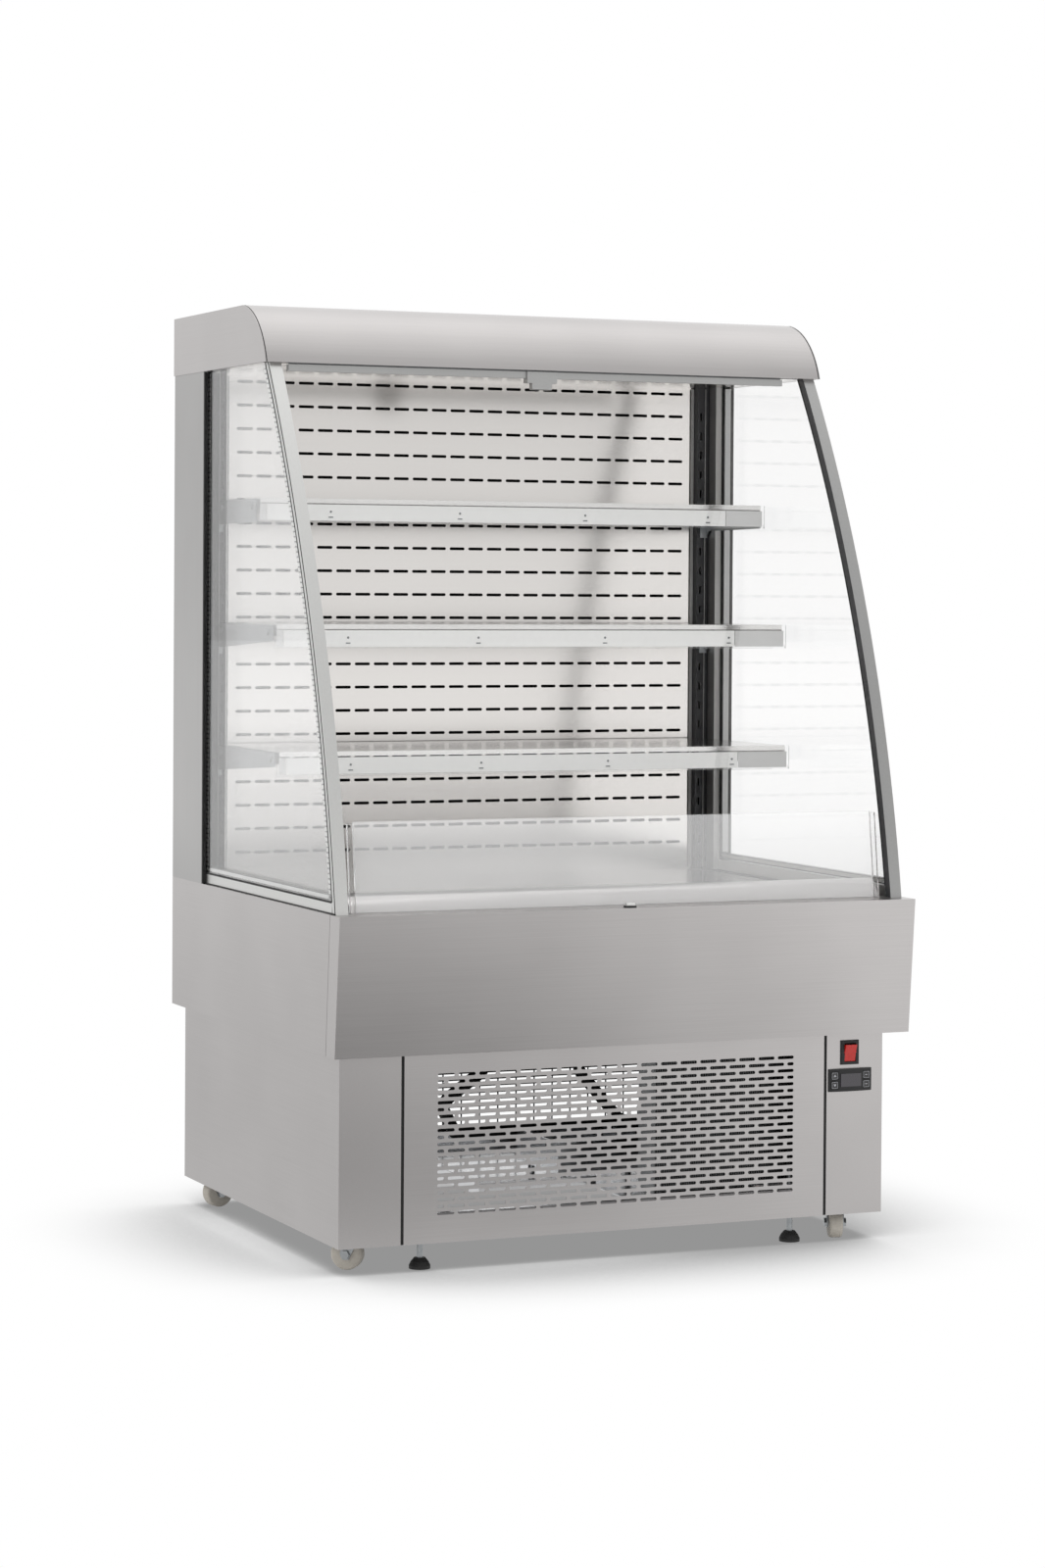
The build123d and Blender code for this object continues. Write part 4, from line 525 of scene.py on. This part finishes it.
bm = bmesh.new()
marks = bmesh.new()
for shelf in shelves:
    addCard(bm, shelf, card["left"], shelf["end"])
    ys = (shelf["rail"] + card["clipIn"], shelf["rail"] + card["in"][0])
    for x in card["clips"]:
        ring = [(x + card["clipRound"] * math.cos(a), shelf["top"] - 22 + card["clipRound"] * math.sin(a))
                for a in (math.tau * i / 16 for i in range(16))]
        addPrism(marks, ring, *ys, 1)
        addBox(marks, (x - 4, ys[0], shelf["top"] - 32), (x + 4, ys[1], shelf["top"] - 30))
newPiece("labelStrips", bm, labelCard, bevel=0.0002)
bm = bmesh.new()
for shelf in shelves:
    addCard(bm, shelf, shelf["end"] + 1, card["far"])
    addCard(bm, shelf, -card["far"], card["left"] - 1)
newPiece("labelInserts", bm, insertCard, bevel=0.0002)

# ---- clear rails that hold the labels, open at the top, with a low hook behind
rail = {"half": 463.0, "tall": 40.0, "front": 1.6, "deep": 5.2, "rear": 1.5, "floor": 2.0, "hook": 6.0, "short": 0.3}
bm = bmesh.new()
for shelf in shelves:
    face, edge, foot = shelf["rail"], shelf["top"] - rail["short"], shelf["top"] - rail["tall"]
    back = face + rail["deep"]
    outline = [(face, edge), (face, foot), (back, foot), (back, foot + rail["hook"]),
               (back - rail["rear"], foot + rail["hook"]), (back - rail["rear"], foot + rail["floor"]),
               (face + rail["front"], foot + rail["floor"]), (face + rail["front"], edge)]
    addPrism(bm, outline, -rail["half"], rail["half"], 0)
channel = newPiece("ticketChannels", bm, clearAcrylic, bevel=0.0003)
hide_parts("ticket_rails")
newPiece("labelClips", marks, greyPlastic)

# ---- folded edges beside and on the slotted uprights
edges = {
    "low": 566, "high": 1425,
    "panelFold": ((436, 441), (300.6, 301.8)), "uprightFold": ((457, 458.2), (287.2, 287.9)),
    "panelSeam": ((433.2, 435), (301.2, 301.9)),
    "ductShade": {"half": 450, "in": (367.7, 368.2), "high": 1424},
}


def addUprightStrip(bm, side, part):
    xs, ys = edges[part]
    addStrip(bm, span(side, *xs), ys, (edges["low"], edges["high"]))


bm = bmesh.new()
dark = bmesh.new()
for side in (-1, 1):
    addUprightStrip(bm, side, "panelFold")
    addUprightStrip(bm, side, "uprightFold")
    addUprightStrip(dark, side, "panelSeam")
# painted shade, and a guess at the duct: a black sheet on the far wall of the air duct, 65 mm behind the slots, which
# leaves the duct open and keeps the slots dark
duct = edges["ductShade"]
addStrip(dark, (-duct["half"], duct["half"]), duct["in"], (edges["low"], duct["high"]))
newPiece("uprightEdges", bm, trimAluminium)
newPiece("backPanelSeamsAndShade", dark, blackSealAndShadow)

# ---- painted shadow in the seam between the canopy's skin and its end caps, 0.5 mm in the solids and drawn 1.6 mm wide so that it shows
nose = {
    "y": 72.06, "z": 1384.51, "radius": 142.54, "low": 1427.5, "top": 1524.5, "steps": 24,
    "proud": 0.25, "deep": 1.0, "width": (499.0, 500.6),
}


def noseY(z, radius):
    return nose["y"] - math.sqrt(radius ** 2 - (z - nose["z"]) ** 2)


bm = bmesh.new()
for side in (-1, 1):
    zs = [nose["low"] + (nose["top"] - nose["low"]) * i / nose["steps"] for i in range(nose["steps"] + 1)]
    outline = [(noseY(z, nose["radius"] + nose["proud"]), z) for z in zs]
    outline += [(noseY(z, nose["radius"] - nose["deep"]), z) for z in reversed(zs)]
    addPrism(bm, outline, *span(side, *nose["width"]), 0)
newPiece("canopySeamShadows", bm, blackSealAndShadow)

# ---- clear end strips of the riser glass
riser = {"half": 453.0, "end": 462.5, "low": 564.2, "top": 702.0, "lean": 17.0 / 140.0}
bm = bmesh.new()
for side in (-1, 1):
    outline = [(-357.5 + riser["lean"] * (z - 564) + d, z) for d, z in
               ((0, riser["low"]), (0, riser["top"]), (6, riser["top"]), (6, riser["low"]))]
    addPrism(bm, outline, *span(side, riser["half"] + 0.3, riser["end"]), 0)
newPiece("riserEndStrips", bm, clearAcrylic, bevel=0.0006)

# ---- controller face: display window, key outlines and arrows
control = {"x": 415.3, "z": 265.0, "keyX": 29.0, "keyZ": 7.6, "face": -351.9}
# smoked polycarbonate window, unlit: near black with a violet cast and a hard shine
displayGlass = cloudedMaterial("pcDisplaySmoked", "#120A16", "#1C1022",
                               {"Coat Weight": 1.0, "Coat Roughness": 0.03}, 20, (0.06, 0.1))
# screen-printed grey ink: flat and matt
inkGrey = cloudedMaterial("screenInkGrey", "#9A9CA0", "#B6B8BC", {}, 3, (0.5, 0.6))
bm = bmesh.new()
cx, cz, front = control["x"], control["z"], control["face"]
addPrism(bm, [(cx - 19, cz - 11), (cx + 19, cz - 11), (cx + 19, cz + 11), (cx - 19, cz + 11)], -353.05, -352.0, 1)
newPiece("displayWindow", bm, displayGlass, bevel=0.0006)
for name, along, up in (("key_up", -1, 1), ("key_down", -1, -1), ("key_set", 1, 1), ("key_light", 1, -1)):
    bm = bmesh.new()
    x, z = cx + along * control["keyX"], cz + up * control["keyZ"]
    for x0, x1, z0, z1 in ((-5.4, 5.4, 4.7, 5.2), (-5.4, 5.4, -5.2, -4.7),
                           (-5.4, -4.9, -5.2, 5.2), (4.9, 5.4, -5.2, 5.2)):
        addBox(bm, (x + x0, front - 0.12, z + z0), (x + x1, front + 0.05, z + z1))
    if along < 0:
        tip = 2.6 * up
        addPrism(bm, [(x - 2.6, z - tip * 0.6), (x + 2.6, z - tip * 0.6), (x, z + tip)], front - 0.12, front + 0.05, 1)
    else:
        addBox(bm, (x - 2.2, front - 0.12, z - 0.5), (x + 2.2, front + 0.05, z + 0.5))
    newPiece(name + "Marks", bm, inkGrey, body=name)
print("trim made")

# ---- stage: floor, white surround and soft studio light
# What the camera sees is white. What metal and glass reflect is a separate surround, dark in front of the object
# and dim behind it, set to give the steel the photograph's gradients. In a plain white studio the steel looks different.
studio = {
    "floorColour": 0.88, "floorHalf": 60.0, "shadeReach": 0.50, "shade": (0.34, 0.93, 0.30, 1.0),
    "darkPlace": (-0.15, -1.62, 0.0), "darkFrom": 0.05, "darkTo": 1.6, "darkLow": 0.12, "darkHigh": 1.14,
    "behindFrom": -1.0, "behindTo": 0.0, "behind": 0.66, "farFrom": 3.0, "farTo": 10.0, "far": 1.36,
    "light": 0.78, "base": 0.70, "overhead": (0.55, 1.0, 0.0, 0.50),
    "rear": (-0.3, 0.5, 0.0, 1.0), "rearGlow": (-0.05, 0.25, 0.08, 0.40),
    "band": (0.04, 0.30, 0.17, 0.0), "bandSide": (0.70, 0.95, 0.0, 1.0),
}


def lightPathMask(tree, *rays):
    path = addNode(tree, "ShaderNodeLightPath")
    mask = path.outputs[rays[0]]
    for ray in rays[1:]:
        either = addNode(tree, "ShaderNodeMath", {"operation": "MAXIMUM"}, links={0: mask, 1: path.outputs[ray]})
        mask = either.outputs[0]
    return mask


def softRange(tree, value, low, high, first, last):
    mapped = addNode(tree, "ShaderNodeMapRange", {"interpolation_type": "SMOOTHSTEP"},
                     {"From Min": low, "From Max": high, "To Min": first, "To Max": last}, {"Value": value})
    return mapped.outputs["Result"]


def distanceFrom(tree, place):
    spot = addNode(tree, "ShaderNodeNewGeometry")
    apart = addNode(tree, "ShaderNodeVectorMath", {"operation": "DISTANCE"}, links={0: spot.outputs["Position"]})
    apart.inputs[1].default_value = place
    return apart.outputs["Value"]


def makeFloor(look):
    bm = bmesh.new()
    size = look["floorHalf"]
    verts = [bm.verts.new((x, y, 0)) for x, y in ((-size, -size), (size, -size), (size, size), (-size, size))]
    bm.faces.new(verts)
    mesh = bpy.data.meshes.new("floor")
    bm.to_mesh(mesh)
    bm.free()
    floor = bpy.data.objects.new("floor", mesh)
    bpy.context.scene.collection.objects.link(floor)
    material = bpy.data.materials.new("floorWhite")
    material.use_nodes = True
    tree = material.node_tree
    tree.nodes.clear()
    # seen directly: white paper, shaded where the object stands close over it, in place of the lamps' own shadow
    lit = addNode(tree, "ShaderNodeBsdfDiffuse", values={"Color": (look["floorColour"],) * 3 + (1,)})
    openness = addNode(tree, "ShaderNodeAmbientOcclusion", {"samples": 32}, {"Distance": look["shadeReach"]})
    shade = softRange(tree, openness.outputs["AO"], *look["shade"])
    seen = addNode(tree, "ShaderNodeEmission", links={"Strength": shade})
    plain = addNode(tree, "ShaderNodeMixShader", links={
        0: lightPathMask(tree, "Is Camera Ray", "Is Transmission Ray"), 1: lit.outputs[0], 2: seen.outputs[0]})
    # seen only in reflections: a studio floor that falls dark in front of the object, a little to the left
    ahead = softRange(tree, distanceFrom(tree, look["darkPlace"]), look["darkFrom"], look["darkTo"], look["darkLow"],
                      look["darkHigh"])
    spot = addNode(tree, "ShaderNodeNewGeometry")
    along = addNode(tree, "ShaderNodeSeparateXYZ", links={0: spot.outputs["Position"]}).outputs[1]
    behind = softRange(tree, along, look["behindFrom"], look["behindTo"], 1.0, look["behind"])
    far = softRange(tree, along, look["farFrom"], look["farTo"], 1.0, look["far"])
    near = addNode(tree, "ShaderNodeMath", {"operation": "MULTIPLY"}, links={0: ahead, 1: behind})
    both = addNode(tree, "ShaderNodeMath", {"operation": "MULTIPLY"}, links={0: near.outputs[0], 1: far})
    mirror = addNode(tree, "ShaderNodeEmission", links={"Strength": both.outputs[0]})
    total = addNode(tree, "ShaderNodeMixShader", links={
        0: lightPathMask(tree, "Is Glossy Ray"), 1: plain.outputs[0], 2: mirror.outputs[0]})
    addNode(tree, "ShaderNodeOutputMaterial", links={"Surface": total.outputs[0]})
    mesh.materials.append(material)


makeFloor(studio)


def makeWorld(look):
    world = bpy.data.worlds.new("studio")
    bpy.context.scene.world = world
    world.use_nodes = True
    tree = world.node_tree
    tree.nodes.clear()
    coords = addNode(tree, "ShaderNodeTexCoord")
    parts = addNode(tree, "ShaderNodeSeparateXYZ", links={0: coords.outputs["Generated"]})
    # reflections: even round the sides, brighter overhead where the big soft light hangs and low in front
    def both(kind, first, second):
        return addNode(tree, "ShaderNodeMath", {"operation": kind}, links={0: first, 1: second}).outputs[0]

    height = addNode(tree, "ShaderNodeMath", {"operation": "ABSOLUTE"}, links={0: parts.outputs[2]}).outputs[0]
    front = addNode(tree, "ShaderNodeMath", {"operation": "MULTIPLY"}, {1: -1.0}, {0: parts.outputs[1]}).outputs[0]
    rear = both("MULTIPLY", softRange(tree, parts.outputs[1], *look["rear"]),
                softRange(tree, parts.outputs[2], *look["rearGlow"]))
    band = both("MULTIPLY", softRange(tree, height, *look["band"]), softRange(tree, front, *look["bandSide"]))
    sky = both("ADD", softRange(tree, parts.outputs[2], *look["overhead"]), both("ADD", rear, band))
    glow = addNode(tree, "ShaderNodeMath", {"operation": "ADD"}, {1: look["base"]}, {0: sky})
    mirror = addNode(tree, "ShaderNodeBackground", values={"Color": (1, 1, 1, 1)}, links={"Strength": glow.outputs[0]})
    lamp = addNode(tree, "ShaderNodeBackground", values={"Color": (1, 1, 1, 1), "Strength": look["light"]})
    white = addNode(tree, "ShaderNodeBackground", values={"Color": (1, 1, 1, 1), "Strength": 1.0})
    first = addNode(tree, "ShaderNodeMixShader", links={
        0: lightPathMask(tree, "Is Glossy Ray"), 1: lamp.outputs[0], 2: mirror.outputs[0]})
    second = addNode(tree, "ShaderNodeMixShader", links={
        0: lightPathMask(tree, "Is Camera Ray", "Is Transmission Ray"), 1: first.outputs[0], 2: white.outputs[0]})
    addNode(tree, "ShaderNodeOutputWorld", links={"Surface": second.outputs[0]})


makeWorld(studio)

softBoxes = [
    {"name": "topSoftBox", "place": (-0.6, -1.6, 3.6), "aim": (0, 0, 0.8), "size": (3.2, 2.4), "power": 60},
    {"name": "leftSoftBox", "place": (-3.6, -1.2, 2.0), "aim": (0, 0, 0.8), "size": (1.6, 2.6), "power": 30},
]
for box in softBoxes:
    data = bpy.data.lights.new(box["name"], "AREA")
    data.shape = "RECTANGLE"
    data.size, data.size_y = box["size"]
    data.energy = box["power"]
    lamp = bpy.data.objects.new(box["name"], data)
    lamp.location = box["place"]
    lamp.rotation_mode = "QUATERNION"
    lamp.rotation_quaternion = (Vector(box["aim"]) - Vector(box["place"])).to_track_quat("-Z", "Y")
    lamp.visible_glossy = False   # the surround above stands for its reflection, with no hard edges
    bpy.context.scene.collection.objects.link(lamp)
bpy.context.scene.view_settings.view_transform = "Standard"
print("stage and light set")
